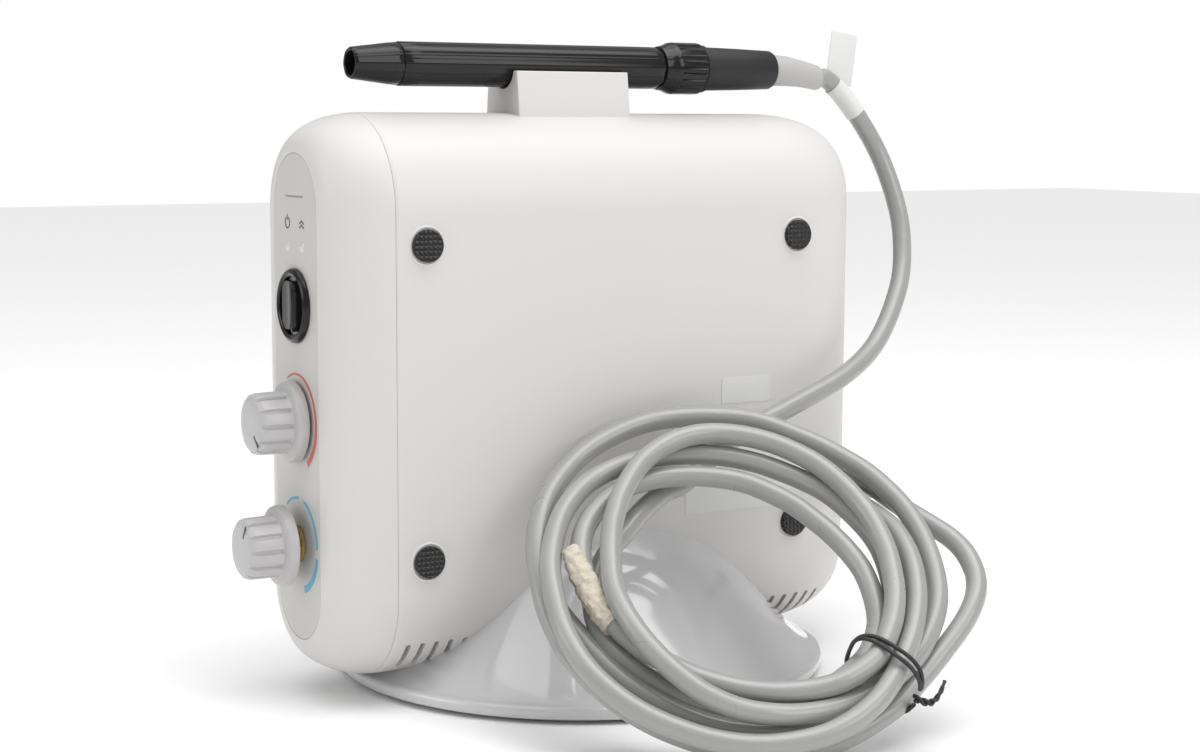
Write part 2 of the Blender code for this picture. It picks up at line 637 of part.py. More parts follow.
def make_handpiece(mats):
    wall = TUBE_WALL
    body = loft([
        octagon_loop(BODY_RADIUS - 0.15 * MM, NOSE_JOINT + GAP), octagon_loop(BODY_RADIUS, NOSE_JOINT + 3 * MM),
        octagon_loop(BODY_RADIUS, HANDPIECE_END - 4 * MM), round_loop(BODY_RADIUS, HANDPIECE_END),
        round_loop(BODY_RADIUS - wall, HANDPIECE_END), round_loop(BODY_RADIUS - wall, NOSE_JOINT + GAP)], closed=True)
    place(add_object("handpiece_body", body, mats["black"]), z=AXIS_Z)
    nose = loft([
        octagon_loop(BODY_RADIUS - 0.15 * MM, NOSE_JOINT), round_loop(NOSE_RADIUS + 0.3 * MM, NOSE_TIP + 1.5 * MM),
        round_loop(NOSE_RADIUS, NOSE_TIP + 0.4 * MM), round_loop(NOSE_RADIUS - 0.5 * MM, NOSE_TIP),
        round_loop(BORE_RADIUS, NOSE_TIP), round_loop(BORE_RADIUS, NOSE_JOINT)], closed=True)
    place(add_object("handpiece_nose", nose, mats["black"]), z=AXIS_Z)
    liner_start = NOSE_JOINT + GAP
    liner = loft([round_loop(BORE_RADIUS + 0.6 * MM, liner_start), round_loop(BORE_RADIUS + 0.6 * MM, HANDPIECE_END),
                  round_loop(BORE_RADIUS, HANDPIECE_END), round_loop(BORE_RADIUS, liner_start)], closed=True)
    place(add_object("handpiece_liner", liner, mats["knob"]), z=AXIS_Z)
    coil_inner = BORE_RADIUS + 0.6 * MM + GAP
    coil_outer = BODY_RADIUS - wall - GAP
    ends = (NOSE_JOINT + 14 * MM, HANDPIECE_END - 16 * MM)
    winding = loft([round_loop(coil_outer, ends[0]), round_loop(coil_outer, ends[1]),
                    round_loop(coil_inner, ends[1]), round_loop(coil_inner, ends[0])], closed=True)
    place(add_object("handpiece_winding", winding, mats["copper"]), z=AXIS_Z)


def fluted_round(radius, flute, y, count=48):
    points = []
    for i in range(count):
        a = 2 * math.pi * i / count
        r = radius - flute if i % 3 == 0 else radius
        points.append((r * math.cos(a), y, r * math.sin(a)))
    return points


def make_connector(mats):
    start = HANDPIECE_END + GAP
    end = start + RING_LENGTH
    bore = SPIGOT_RADIUS + 1.9 * MM
    ring = loft([
        fluted_round(BODY_RADIUS + 0.3 * MM, 0.0, start), fluted_round(RING_RADIUS - 0.5 * MM, 0.0, start + 3.6 * MM),
        fluted_round(RING_RADIUS, 0.0, start + 5.6 * MM), fluted_round(RING_RADIUS, 0.35 * MM, start + 6.4 * MM),
        fluted_round(RING_RADIUS, 0.35 * MM, end - 1.2 * MM), fluted_round(RING_RADIUS - 0.6 * MM, 0.0, end),
        fluted_round(bore, 0.0, end), fluted_round(bore, 0.0, start)], closed=True)
    place(add_object("coupling_ring", ring, mats["black"]), z=AXIS_Z)
    base = end + GAP
    sleeve_start = base + THIN_RING_LENGTH
    sleeve_end = sleeve_start + SLEEVE_LENGTH
    sleeve = loft([
        round_loop(SPIGOT_RADIUS + 1.5 * MM, start + 2 * MM), round_loop(SPIGOT_RADIUS + 1.5 * MM, base),
        round_loop(RING_RADIUS - 0.8 * MM, base), round_loop(RING_RADIUS - 0.8 * MM, sleeve_start - 0.3 * MM),
        round_loop(SLEEVE_RADIUS, sleeve_start), round_loop(SLEEVE_END_RADIUS, sleeve_end - 0.8 * MM),
        round_loop(SLEEVE_END_RADIUS - 0.8 * MM, sleeve_end), round_loop(SPIGOT_RADIUS + GAP, sleeve_end),
        round_loop(SPIGOT_RADIUS + GAP, start + 2 * MM)], closed=True)
    place(add_object("connector_sleeve", sleeve, mats["black_matte"]), z=AXIS_Z)
    core = loft([round_loop(SPIGOT_RADIUS - 0.4 * MM, HANDPIECE_END - SPIGOT_REACH),
                 round_loop(SPIGOT_RADIUS, HANDPIECE_END - SPIGOT_REACH + 1 * MM),
                 round_loop(SPIGOT_RADIUS, sleeve_end - 2 * MM)])
    place(add_object("connector_core", core, mats["brass"]), z=AXIS_Z)
    relief_start = sleeve_end + GAP
    loops = []
    for i in range(6):
        t = i / 5
        radius = RELIEF_RADIUS + (RELIEF_END_RADIUS - RELIEF_RADIUS) * t
        loops.append(round_loop(radius, relief_start + RELIEF_LENGTH * t, z=-RELIEF_DROOP * t * t))
    place(add_object("strain_relief", loft(loops), mats["grey"]), z=AXIS_Z)


def holder_screw_depths():
    return [HOLDER_DEPTH + share * HOLDER_LENGTH for share in (0.25, 0.75)]


def make_holder(mats, casing_cutter):
    foot = BODY_TOP - 12 * MM
    slope = (HOLDER_BOTTOM_HALF - HOLDER_TOP_HALF) / (HOLDER_TOP - BODY_TOP)
    low_half = HOLDER_BOTTOM_HALF + 12 * MM * slope
    outline = [(-low_half, foot), (low_half, foot), (HOLDER_TOP_HALF, HOLDER_TOP)]
    groove = BODY_RADIUS * 1.02 + HOLDER_GROOVE_GAP
    sink = AXIS_Z - HOLDER_TOP
    first = math.asin(sink / groove)
    for i in range(13):
        a = -first - (math.pi - 2 * first) * i / 12
        outline.append((groove * math.cos(a), AXIS_Z + groove * math.sin(a)))
    outline.append((-HOLDER_TOP_HALF, HOLDER_TOP))
    loops = [[(x, HOLDER_DEPTH + y, z) for x, z in outline] for y in (0.0, HOLDER_LENGTH)]
    holder = place(add_object("handpiece_holder", loft(loops), mats["casing"], smooth=False))
    cut(holder, casing_cutter)
    head = AXIS_Z - groove - 2.2 * MM
    for i, depth in enumerate(holder_screw_depths()):
        hole = turned("holder_screw_cutter", [
            (SCREW_RADIUS + GAP, -30 * MM), (SCREW_RADIUS + GAP, -GAP),
            (SCREW_HEAD_RADIUS + GAP, -GAP), (SCREW_HEAD_RADIUS + GAP, 6 * MM)], mats["casing"], 16)
        cut(holder, hide_cutter(place(hole, 0.0, depth, head)))
        screw = turned(f"holder_screw_{i + 1}", [
            (SCREW_RADIUS, -14 * MM), (SCREW_RADIUS, 0.0), (SCREW_HEAD_RADIUS, 0.0),
            (SCREW_HEAD_RADIUS, 1.2 * MM), (SCREW_HEAD_RADIUS - 0.5 * MM, 1.6 * MM)], mats["steel"], 16)
        place(screw, 0.0, depth, head)


def make_internals(mats):
    plate_x = 13 * MM - 0.5 * BODY_WIDTH
    bevelled_box("chassis", (2 * MM, 150 * MM, 150 * MM), mats["aluminium"], 0.5 * MM, plate_x, 112 * MM, 112 * MM)
    board_x = plate_x + 10 * MM
    bevelled_box("main_board", (1.6 * MM, 130 * MM, 96 * MM), mats["board"], 0.2 * MM, board_x, 112 * MM, 136 * MM)
    rail_x = 0.5 * (plate_x + board_x) + 0.1 * MM
    rail_thick = board_x - plate_x - 1.8 * MM - 2 * GAP
    for name, z in (("board_rail_lower", 94 * MM), ("board_rail_upper", 178 * MM)):
        bevelled_box(name, (rail_thick, 120 * MM, 6 * MM), mats["steel"], 0.5 * MM, rail_x, 112 * MM, z)
    front = board_x + 0.8 * MM + GAP
    bevelled_box("heat_sink", (18 * MM, 50 * MM, 36 * MM), mats["aluminium"], 0.6 * MM,
                 front + 9 * MM, 82 * MM, 160 * MM)
    fins = bmesh.new()
    for i in range(6):
        z = (i - 2.5) * 6 * MM
        slab = box_mesh((13 * MM, 60 * MM, 2.6 * MM), (0, 0, z))
        mesh = bpy.data.meshes.new("fin_gap")
        slab.to_mesh(mesh)
        slab.free()
        fins.from_mesh(mesh)
        bpy.data.meshes.remove(mesh)
    gaps = place(add_object("heat_sink_cutter", fins, mats["aluminium"], smooth=False), front + 14 * MM, 82 * MM, 160 * MM)
    cut(bpy.data.objects["heat_sink"], hide_cutter(gaps))
    can = turned("capacitor", [(9 * MM, 0.0), (9 * MM, 29.4 * MM), (8.4 * MM, 30 * MM)], mats["black"], 24)
    can.rotation_euler = (0, math.pi / 2, 0)
    place(can, front, 138 * MM, 160 * MM)
    core_x = plate_x + 1 * MM + GAP
    bevelled_box("transformer_core", (30 * MM, 44 * MM, 42 * MM), mats["steel"], 1 * MM,
                 core_x + 15 * MM, 140 * MM, 62 * MM)
    bm = box_mesh((34 * MM, 26 * MM, 26 * MM))
    gap = place(add_object("transformer_window_cutter", bm, mats["steel"], smooth=False), core_x + 15 * MM, 140 * MM, 62 * MM)
    cut(bpy.data.objects["transformer_core"], hide_cutter(gap))
    bevelled_box("transformer_winding", (30 * MM, 25 * MM, 25 * MM), mats["copper"], 3 * MM,
                 core_x + 15 * MM, 140 * MM, 62 * MM)
    bevelled_box("solenoid_valve", (24 * MM, 34 * MM, 26 * MM), mats["black"], 1.5 * MM,
                 core_x + 12 * MM, 72 * MM, 56 * MM)


def tube_through(name, points, radius, mat, spacing, resolution=2):
    """A round tube on a smooth curve through hand-chosen points."""
    route = smooth_route(points, spacing)
    curve = bpy.data.curves.new(name, "CURVE")
    curve.dimensions = "3D"
    curve.bevel_depth = radius
    curve.bevel_resolution = resolution
    curve.use_fill_caps = True
    spline = curve.splines.new("POLY")
    spline.points.add(len(route) - 1)
    for target, p in zip(spline.points, route):
        target.co = (*p, 1.0)
    obj = bpy.data.objects.new(name, curve)
    curve.materials.append(mat)
    bpy.context.collection.objects.link(obj)
    return obj


def smooth_route(points, spacing):
    """Evenly spaced points on a Catmull-Rom curve through the given ones, with one more near each end."""
    pts = [2 * points[0] - points[1]] + list(points) + [2 * points[-1] - points[-2]]
    fine = []
    for i in range(1, len(pts) - 2):
        p0, p1, p2, p3 = pts[i - 1:i + 3]
        for k in range(24):
            t = k / 24
            fine.append(0.5 * (2 * p1 + (p2 - p0) * t + (2 * p0 - 5 * p1 + 4 * p2 - p3) * t * t
                               + (3 * p1 - p0 - 3 * p2 + p3) * t ** 3))
    fine.append(pts[-2])
    total = sum((b - a).length for a, b in zip(fine, fine[1:]))
    count = max(4, round(total / spacing))
    step = total / count
    stops = [0.3 * step] + [step * i for i in range(1, count)] + [total - 0.3 * step]
    route = [fine[0]]
    walked = 0.0
    for a, b in zip(fine, fine[1:]):
        length = (b - a).length
        while stops and walked + length >= stops[0]:
            route.append(a + (b - a) * ((stops.pop(0) - walked) / length))
        walked += length
    route.append(fine[-1])
    return route


def make_rear_fittings(mats):
    face = BODY_LENGTH + GAP
    inside = -12 * MM
    socket = turned("footswitch_socket", [
        (1.9 * MM, REAR_FLANGE), (7.5 * MM, REAR_FLANGE), (8.5 * MM, REAR_FLANGE - 1 * MM), (8.5 * MM, 0.0),
        (6.0 * MM, 0.0), (6.0 * MM, inside), (1.9 * MM, inside)], mats["black"], 20, hollow=True)
    place(along_y(socket), 0.0, face, SOCKET_Z)
    inlet = turned("water_inlet", [
        (1.5 * MM, 14 * MM), (2.6 * MM, 14 * MM), (3.2 * MM, 11.5 * MM), (2.5 * MM, 11 * MM), (3.2 * MM, 8 * MM),
        (2.5 * MM, 7.5 * MM), (2.5 * MM, REAR_FLANGE), (7.5 * MM, REAR_FLANGE), (7.5 * MM, 0.0), (4.5 * MM, 0.0),
        (4.5 * MM, inside), (1.5 * MM, inside)], mats["steel"], 24, hollow=True)
    place(along_y(inlet), 0.0, face, WATER_INLET_Z)
    mains = bevelled_box("mains_inlet", (31 * MM, REAR_FLANGE, 24 * MM), mats["black"], 0.6 * MM,
                         0.0, face + 0.5 * REAR_FLANGE, MAINS_Z)
    box = place(add_object("mains_inlet_box", box_mesh((27 * MM, 20 * MM, 20 * MM)), mats["black"], smooth=False),
                0.0, face - 8 * MM, MAINS_Z)
    join_bodies(mains, box)
    well = add_object("mains_well_cutter", box_mesh((22 * MM, 18 * MM, 15 * MM)), mats["black"], smooth=False)
    cut(mains, hide_cutter(place(well, 0.0, face - 4 * MM, MAINS_Z)))
    gland = turned("cord_gland", [
        (5.5 * MM, inside), (5.5 * MM, 0.0), (GLAND_RADIUS, 0.0), (GLAND_RADIUS, REAR_FLANGE - 0.6 * MM),
        (GLAND_RADIUS - 0.8 * MM, REAR_FLANGE), (5.8 * MM, REAR_FLANGE), (4.9 * MM, REAR_FLANGE + GLAND_RELIEF)],
        mats["grey"], 28)
    place(along_y(gland), GLAND_X, face, GLAND_Z)


def make_water_tubes(mats):
    inlet_end = BODY_LENGTH + GAP - 12 * MM
    supply = [point(0, inlet_end - 2 * GAP, WATER_INLET_Z), point(0, inlet_end - 6 * MM, WATER_INLET_Z),
              point(4 * MM, inlet_end - 14 * MM, WATER_INLET_Z), point(22 * MM, inlet_end - 40 * MM, 84 * MM),
              point(22 * MM, 130 * MM, 36 * MM), point(6 * MM, 109 * MM, 41 * MM), point(-8 * MM, 100 * MM, 49 * MM),
              point(-10 * MM, 95 * MM, 50 * MM), point(-10 * MM, 89 * MM + 2 * GAP, 50 * MM)]
    tube_through("water_tube_supply", supply, 2 * MM, mats["tube"], 8 * MM)
    feed = [point(-10 * MM, 55 * MM - 2 * GAP, 50 * MM), point(-10 * MM, 51 * MM, 50 * MM),
            point(-6 * MM, 41 * MM, 52 * MM), point(0, 31 * MM, WATER_Z), point(0, 26 * MM + 2 * GAP, WATER_Z)]
    tube_through("water_tube_feed", feed, 2 * MM, mats["tube"], 5 * MM)


def coil_frame():
    """Centre of the coil and its right, up and facing directions."""
    turn, lean = COIL_TURN, COIL_LEAN
    right = Vector((-math.sin(turn), math.cos(turn), 0))
    up = Vector((-math.sin(lean) * math.cos(turn), -math.sin(lean) * math.sin(turn), math.cos(lean)))
    return point(*COIL_CENTRE), right, up, right.cross(up)


def coil_point(radius, degrees, proud):
    centre, right, up, facing = coil_frame()
    a = math.radians(degrees)
    return centre + radius * (math.cos(a) * right + math.sin(a) * up) + proud * facing


def coil_section(a, grow=0.0):
    """Radius and height of a point on the coil's rounded-square section, at an angle round it."""
    mid = 0.5 * (COIL_OUTER + COIL_INNER)
    half = 0.5 * (COIL_OUTER - COIL_INNER) + grow
    thick = COIL_HALF_THICK + grow
    return (mid + half * math.copysign(abs(math.cos(a)) ** COIL_SQUARE, math.cos(a)),
            thick * math.copysign(abs(math.sin(a)) ** COIL_SQUARE, math.sin(a)))


def make_coil(mats):
    """The tied hank of cord as one turned ring, leaning back against the casing."""
    profile = [coil_section(2 * math.pi * i / 10) for i in range(10)]
    coil = turned("cord_coil", profile, mats["cord"], 40, hollow=True)
    centre, right, up, facing = coil_frame()
    turn = Matrix((right, up, facing)).transposed()
    coil.rotation_euler = turn.to_euler()
    coil.location = centre


def make_cord_runs(mats):
    relief_end = HANDPIECE_END + GAP + RING_LENGTH + GAP + THIN_RING_LENGTH + SLEEVE_LENGTH + GAP + RELIEF_LENGTH
    upper = [
        point(0, relief_end + GAP, AXIS_Z - RELIEF_DROOP),
        point(0, relief_end + 4 * MM, AXIS_Z - RELIEF_DROOP - 0.2 * MM),
        point(0.8 * MM, relief_end + 10 * MM, 212.8 * MM),
        point(2.0 * MM, 237.5 * MM, 203.5 * MM), point(4.5 * MM, 247.0 * MM, 187.9 * MM),
        point(10 * MM, 251.2 * MM, 170.2 * MM), point(16.8 * MM, 249.5 * MM, 155.0 * MM),
        point(25.5 * MM, 241.5 * MM, 137.5 * MM), point(37.0 * MM, 222.5 * MM, 118.3 * MM),
        point(46.0 * MM, 200.0 * MM, 107.0 * MM), point(51.0 * MM, 171.4 * MM, 95.5 * MM),
        point(53.0 * MM, 140.0 * MM, 81.0 * MM), coil_point(52 * MM, 118, -COIL_HALF_THICK - 2.5 * MM - CORD_RADIUS),
    ]
    tube_through("cord_upper", upper, CORD_RADIUS, mats["cord"], 9 * MM, 2)
    tail = [point(x * MM, depth * MM, z * MM) for x, depth, z in (
        (73, 187.7, 77.7), (56, 200.9, 74.1), (40, 213.4, 70.8), (26, 221.2, 67), (11, 226.5, 65.5), (-5, 229.3, 64),
        (-19, 233.5, 63), (-31, 239.6, 61.5), (-36.6, 246.1, 59.5), (-37.8, 254.5, 57.3),
        (-33.8, 262.3, 55), (-26, 266.3, 53), (-17.4, 265.1, 51.3), (-11.2, 259.7, 50.3))]
    tail += [point(GLAND_X, GLAND_END + 11 * MM, GLAND_Z), point(GLAND_X, GLAND_END + 2 * GAP, GLAND_Z)]
    tube_through("cord_tail", tail, CORD_RADIUS, mats["cord"], 7 * MM, 2)


def make_cord_trim(mats):
    """The twist tie round the coil and the flag label on the cord near the handpiece."""
    loop = []
    for i in range(25):
        radius, proud = coil_section(math.radians(10 + 340 * i / 24), 1.8 * MM)
        loop.append(coil_point(radius, -46, proud))
    tail = [coil_point(COIL_OUTER + 6 * MM, -46.5, -4.5 * MM), coil_point(COIL_OUTER + 8 * MM, -43, -4 * MM),
            coil_point(COIL_OUTER + 9 * MM, -38, -3 * MM)]
    tube_through("twist_tie", loop + tail, 0.9 * MM, mats["rubber"], 4 * MM, 1)
    flag = add_object("cord_flag", box_mesh((0.4 * MM, 12 * MM, 17 * MM)), mats["paper"], smooth=False)
    place(flag, 0.6 * MM, 232.5 * MM, 230.0 * MM)


def main():
    clear_scene()
    mats = make_materials()
    pocket = casing_solid("stand_pocket_cutter", mats["casing"], POCKET_GAP)
    holder_base = casing_solid("holder_base_cutter", mats["casing"], GAP)
    make_front_shell(mats)
    make_rear_shell(mats, holder_screw_depths())
    make_overlay(mats)
    make_indicators(mats)
    make_switch(mats)
    make_power_control(mats)
    make_water_control(mats)
    make_side_feet(mats)
    make_labels(mats)
    make_stand(mats, pocket)
    make_stand_pads(mats)
    make_handpiece(mats)
    make_connector(mats)
    make_holder(mats, holder_base)
    make_internals(mats)
    make_rear_fittings(mats)
    make_water_tubes(mats)
    make_coil(mats)
    make_cord_runs(mats)
    make_cord_trim(mats)


main()
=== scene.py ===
import math

import bmesh
import bpy
from mathutils import Matrix, Vector


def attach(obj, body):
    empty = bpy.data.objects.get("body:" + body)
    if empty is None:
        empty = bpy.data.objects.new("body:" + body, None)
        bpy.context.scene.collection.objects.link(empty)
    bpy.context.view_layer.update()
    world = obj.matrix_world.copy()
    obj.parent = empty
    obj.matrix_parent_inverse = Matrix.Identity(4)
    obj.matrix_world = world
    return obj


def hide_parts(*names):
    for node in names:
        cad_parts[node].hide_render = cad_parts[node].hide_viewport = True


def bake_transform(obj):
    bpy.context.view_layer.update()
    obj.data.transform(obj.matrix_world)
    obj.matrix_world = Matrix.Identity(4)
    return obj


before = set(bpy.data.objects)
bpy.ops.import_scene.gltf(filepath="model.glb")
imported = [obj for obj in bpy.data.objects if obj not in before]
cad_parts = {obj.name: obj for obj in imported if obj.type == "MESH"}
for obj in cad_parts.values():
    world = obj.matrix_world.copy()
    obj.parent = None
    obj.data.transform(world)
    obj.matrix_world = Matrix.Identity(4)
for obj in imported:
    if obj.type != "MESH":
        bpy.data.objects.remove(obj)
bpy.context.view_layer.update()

MM = 0.001
FRONT_Y = -0.10975             # Y of the flat front face; depths run back from it

BODY_LENGTH = 218.0
BODY_LOW, BODY_HIGH = 7.7, 203.7
HALF_WIDTH = 37.0
EDGE_RADIUS = 33.6
FRONT_DEPTH, REAR_DEPTH = 25.4, 32.4
SEAM = 20.7
OVERLAY_LOW, OVERLAY_HIGH = 21.8, 189.8
HANDPIECE_Z = 220.5
STAND_DEPTH = 113.2
SWITCH_Z, POWER_Z, WATER_Z = 137.9, 98.0, 55.2
WALL = 2.5                     # the shells' wall
LIP_INSET = 3.2                # how far the shells' inner rounding sits behind the outer one
CORD_DIAMETER = 7.2
PRINT_DEPTH, PRINT_THICK = -0.03, 0.16
PRESS_ANGLE = 10               # degrees that the rocker's left half is pressed in


# ---------------------------------------------------------------- modelling helpers

def at(x, depth, z):
    """A point from millimetres: across, back from the front face, and up."""
    return Vector((x * MM, FRONT_Y + depth * MM, z * MM))


def fresh():
    """Leave edit mode with nothing selected."""
    if bpy.context.object and bpy.context.object.mode != "OBJECT":
        bpy.ops.object.mode_set(mode="OBJECT")
    bpy.ops.object.select_all(action="DESELECT")


def choose(obj):
    """Select one object alone and make it the active one."""
    fresh()
    obj.select_set(True)
    bpy.context.view_layer.objects.active = obj


def join(pieces, active):
    """Make one object of several, which keeps the active one's name and data."""
    fresh()
    for piece in pieces:
        piece.select_set(True)
    bpy.context.view_layer.objects.active = active
    bpy.ops.object.join()
    return bpy.context.object


def edit(obj):
    choose(obj)
    bpy.ops.object.mode_set(mode="EDIT")
    bpy.ops.mesh.select_mode(type="VERT")


def pick(test):
    """Select, in edit mode, the vertices whose place passes a test."""
    mesh = bmesh.from_edit_mesh(bpy.context.object.data)
    for v in mesh.verts:
        v.select = False
    mesh.select_flush(False)
    for v in mesh.verts:
        v.select = bool(test(v.co))
    mesh.select_flush(True)
    bmesh.update_edit_mesh(bpy.context.object.data)


def pick_numbered(numbers):
    """Select, in edit mode, the vertices with the given numbers."""
    mesh = bmesh.from_edit_mesh(bpy.context.object.data)
    mesh.verts.ensure_lookup_table()
    for v in mesh.verts:
        v.select = False
    mesh.select_flush(False)
    for i in numbers:
        mesh.verts[i].select = True
    mesh.select_flush(True)
    bmesh.update_edit_mesh(bpy.context.object.data)


def pick_edges(test):
    """Select, in edit mode, the edges whose two ends pass a test."""
    for e in bmesh.from_edit_mesh(bpy.context.object.data).edges:
        e.select = test(*(v.co for v in e.verts))


def settle(obj):
    """Put the object's place, turn and size into its mesh."""
    choose(obj)
    bpy.ops.object.transform_apply(location=True, rotation=True, scale=True)


def close_up(obj, angle=35, flip=True):
    """Leave edit mode with merged points, outward faces and smooth shading up to an angle."""
    edit(obj)
    bpy.ops.mesh.select_all(action="SELECT")
    bpy.ops.mesh.remove_doubles(threshold=0.000004)
    if flip:
        bpy.ops.mesh.normals_make_consistent(inside=False)
    choose(obj)
    bpy.ops.object.shade_smooth_by_angle(angle=math.radians(angle))


def finish_with(obj, kind, **values):
    """Add a modifier with its values and apply it."""
    choose(obj)
    mod = obj.modifiers.new(kind.lower(), kind)
    for key, value in values.items():
        setattr(mod, key, value)
    bpy.ops.object.modifier_apply(modifier=mod.name)


def soften(obj, width, segments=2, angle=35):
    finish_with(obj, "BEVEL", width=width * MM, segments=segments, limit_method="ANGLE",
                angle_limit=math.radians(angle), harden_normals=False)


def cut_out(obj, tool):
    finish_with(obj, "BOOLEAN", operation="DIFFERENCE", solver="EXACT", object=tool)
    bpy.data.objects.remove(tool)


def take(obj, name, finish, body, *nodes):
    """Name a finished piece, give it its material, and hang it on a body in place of its plain solids."""
    obj.name = name
    obj.data.name = name
    obj.data.materials.clear()
    obj.data.materials.append(finish)
    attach(obj, body)
    if nodes:
        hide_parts(*nodes)
    return obj


TURNS = {"X": (0, math.pi / 2, 0), "Y": (-math.pi / 2, 0, 0), "Z": (0, 0, 0)}
UNIT = {"X": Vector((1, 0, 0)), "Y": Vector((0, 1, 0)), "Z": Vector((0, 0, 1))}


def turned(profile, centre, axis="Y", sides=64, facet=0.0, drop=0.0):
    """A round piece: a filled circle drawn out along an axis through (radius, distance) stations.

    facet flattens the circle to eight soft sides; drop lets the far end sag, in millimetres.
    """
    fresh()
    unit = UNIT[axis]
    radius, along = profile[0]
    bpy.ops.mesh.primitive_circle_add(vertices=sides, radius=radius * MM, fill_type="NGON",
                                      location=centre + unit * along * MM, rotation=TURNS[axis])
    obj = bpy.context.object
    settle(obj)
    edit(obj)
    if facet:
        for share in (0.0, 0.5, 1.0):
            def on_band(co, share=share):
                spot = co - centre
                turn = math.atan2(spot.z, spot.x)
                return abs(0.5 - 0.5 * math.cos(8 * turn) - share) < 0.26
            pick(on_band)
            bpy.ops.transform.resize(value=(1 - facet * share, 1, 1 - facet * share), center_override=centre)
    bpy.ops.mesh.select_all(action="SELECT")
    sag = 0.0
    start = profile[0][1]
    span = profile[-1][1] - start
    for (r0, a0), (r1, a1) in zip(profile, profile[1:]):
        step = unit * (a1 - a0) * MM
        if drop:
            now = drop * ((a1 - start) / span) ** 2
            step = step - Vector((0, 0, (now - sag) * MM))
            sag = now
        bpy.ops.mesh.extrude_region_move(TRANSFORM_OT_translate={"value": step})
        if abs(r1 - r0) > 1e-6:
            middle = centre + unit * a1 * MM - Vector((0, 0, sag * MM))
            bpy.ops.transform.resize(value=(r1 / r0,) * 3, center_override=middle)
    close_up(obj)
    return obj


def corner_spots(section):
    """The centres of a section's four corner arcs, each with its side and whether it is an upper one."""
    half, low, high, radius, depth = section
    return [(sx, up, at(sx * (half - radius), depth, high - radius if up else low + radius))
            for sx in (-1, 1) for up in (False, True)]


def rounded_start(section, steps):
    """A flat rounded rectangle standing across the casing, from which a body is drawn out."""
    half, low, high, radius, depth = section
    fresh()
    bpy.ops.mesh.primitive_plane_add(size=1, location=at(0, depth, 0.5 * (low + high)),
                                     rotation=(math.pi / 2, 0, 0), scale=(1, 1, 1))
    obj = bpy.context.object
    obj.scale = (2 * half * MM, (high - low) * MM, 1)
    settle(obj)
    edit(obj)
    bpy.ops.mesh.select_all(action="SELECT")
    bpy.ops.mesh.bevel(offset=radius * MM, segments=steps, profile=0.5, affect="VERTICES",
                       clamp_overlap=False)
    bpy.ops.mesh.select_all(action="SELECT")
    return obj


def draw_out(old, new):
    """Extrude the selected outline to the next section and re-form its four corners."""
    bpy.ops.mesh.extrude_region_move(TRANSFORM_OT_translate={"value": Vector((0, (new[4] - old[4]) * MM, 0))})
    mesh = bmesh.from_edit_mesh(bpy.context.object.data)
    mesh.verts.index_update()
    middle = 0.5 * (old[1] + old[2]) * MM
    corner_of = {v.index: (v.co.x > 0, v.co.z > middle) for v in mesh.verts if v.select}
    before = corner_spots((*old[:4], new[4]))
    for (sx, up, start), (_, _, end) in zip(before, corner_spots(new)):
        pick_numbered([i for i, corner in corner_of.items() if corner == (sx > 0, up)])
        if abs(new[3] - old[3]) > 1e-6:
            bpy.ops.transform.resize(value=(new[3] / old[3],) * 3, center_override=start)
        if (end - start).length > 1e-9:
            bpy.ops.transform.translate(value=end - start)
    pick_numbered(corner_of)


def body_through(sections, steps):
    """A closed body drawn out through rounded rectangular sections."""
    obj = rounded_start(sections[0], steps)
    for old, new in zip(sections, sections[1:]):
        draw_out(old, new)
    close_up(obj)
    return obj


def casing_section(depth, inset=0.0, front_inset=0.0):
    """The casing's outline at a depth: half width, low, high, corner radius and the depth itself."""
    front = (depth - front_inset) / (FRONT_DEPTH - front_inset)
    rear = (BODY_LENGTH - inset - depth) / (REAR_DEPTH - inset)
    if front < 1:
        half, margin, share = 19.3, 13.0, max(front, 0.0)
    else:
        half, margin, share = 17.8, 12.4, min(max(rear, 0.0), 1.0)
    grow = math.sqrt(1 - (1 - share) ** 2)
    width = half + (HALF_WIDTH - half) * grow - inset
    edge = margin * (1 - grow) + inset
    radius = min(half + (EDGE_RADIUS - half) * grow - inset, width * 0.996)
    return (width, BODY_LOW + edge, BODY_HIGH - edge, radius, depth)


def eased(start, end, count, at_start=True):
    """Depths spaced closely at one end, as stations round a quarter circle are."""
    span = end - start
    turns = [0.5 * math.pi * i / count for i in range(count + 1)]
    if at_start:
        return [start + span * (1 - math.cos(t)) for t in turns]
    return [start + span * math.sin(t) for t in turns]


def block(size, place, round_off=0.0, segments=3, turn=(0, 0, 0)):
    """A box set in place with softened edges, sizes in millimetres."""
    fresh()
    bpy.ops.mesh.primitive_cube_add(size=1, location=place, rotation=turn)
    obj = bpy.context.object
    obj.scale = [s * MM for s in size]
    settle(obj)
    if round_off:
        soften(obj, round_off, segments)
    close_up(obj)
    return obj


def smooth_line(points, per=8):
    """Points on a smooth line through the given ones."""
    pts = [2 * points[0] - points[1], *points, 2 * points[-1] - points[-2]]
    line = []
    for i in range(1, len(pts) - 2):
        p0, p1, p2, p3 = pts[i - 1:i + 3]
        for k in range(per):
            t = k / per
            line.append(0.5 * (2 * p1 + (p2 - p0) * t + (2 * p0 - 5 * p1 + 4 * p2 - p3) * t * t
                               + (3 * p1 - p0 - 3 * p2 + p3) * t ** 3))
    line.append(pts[-2])
    return line


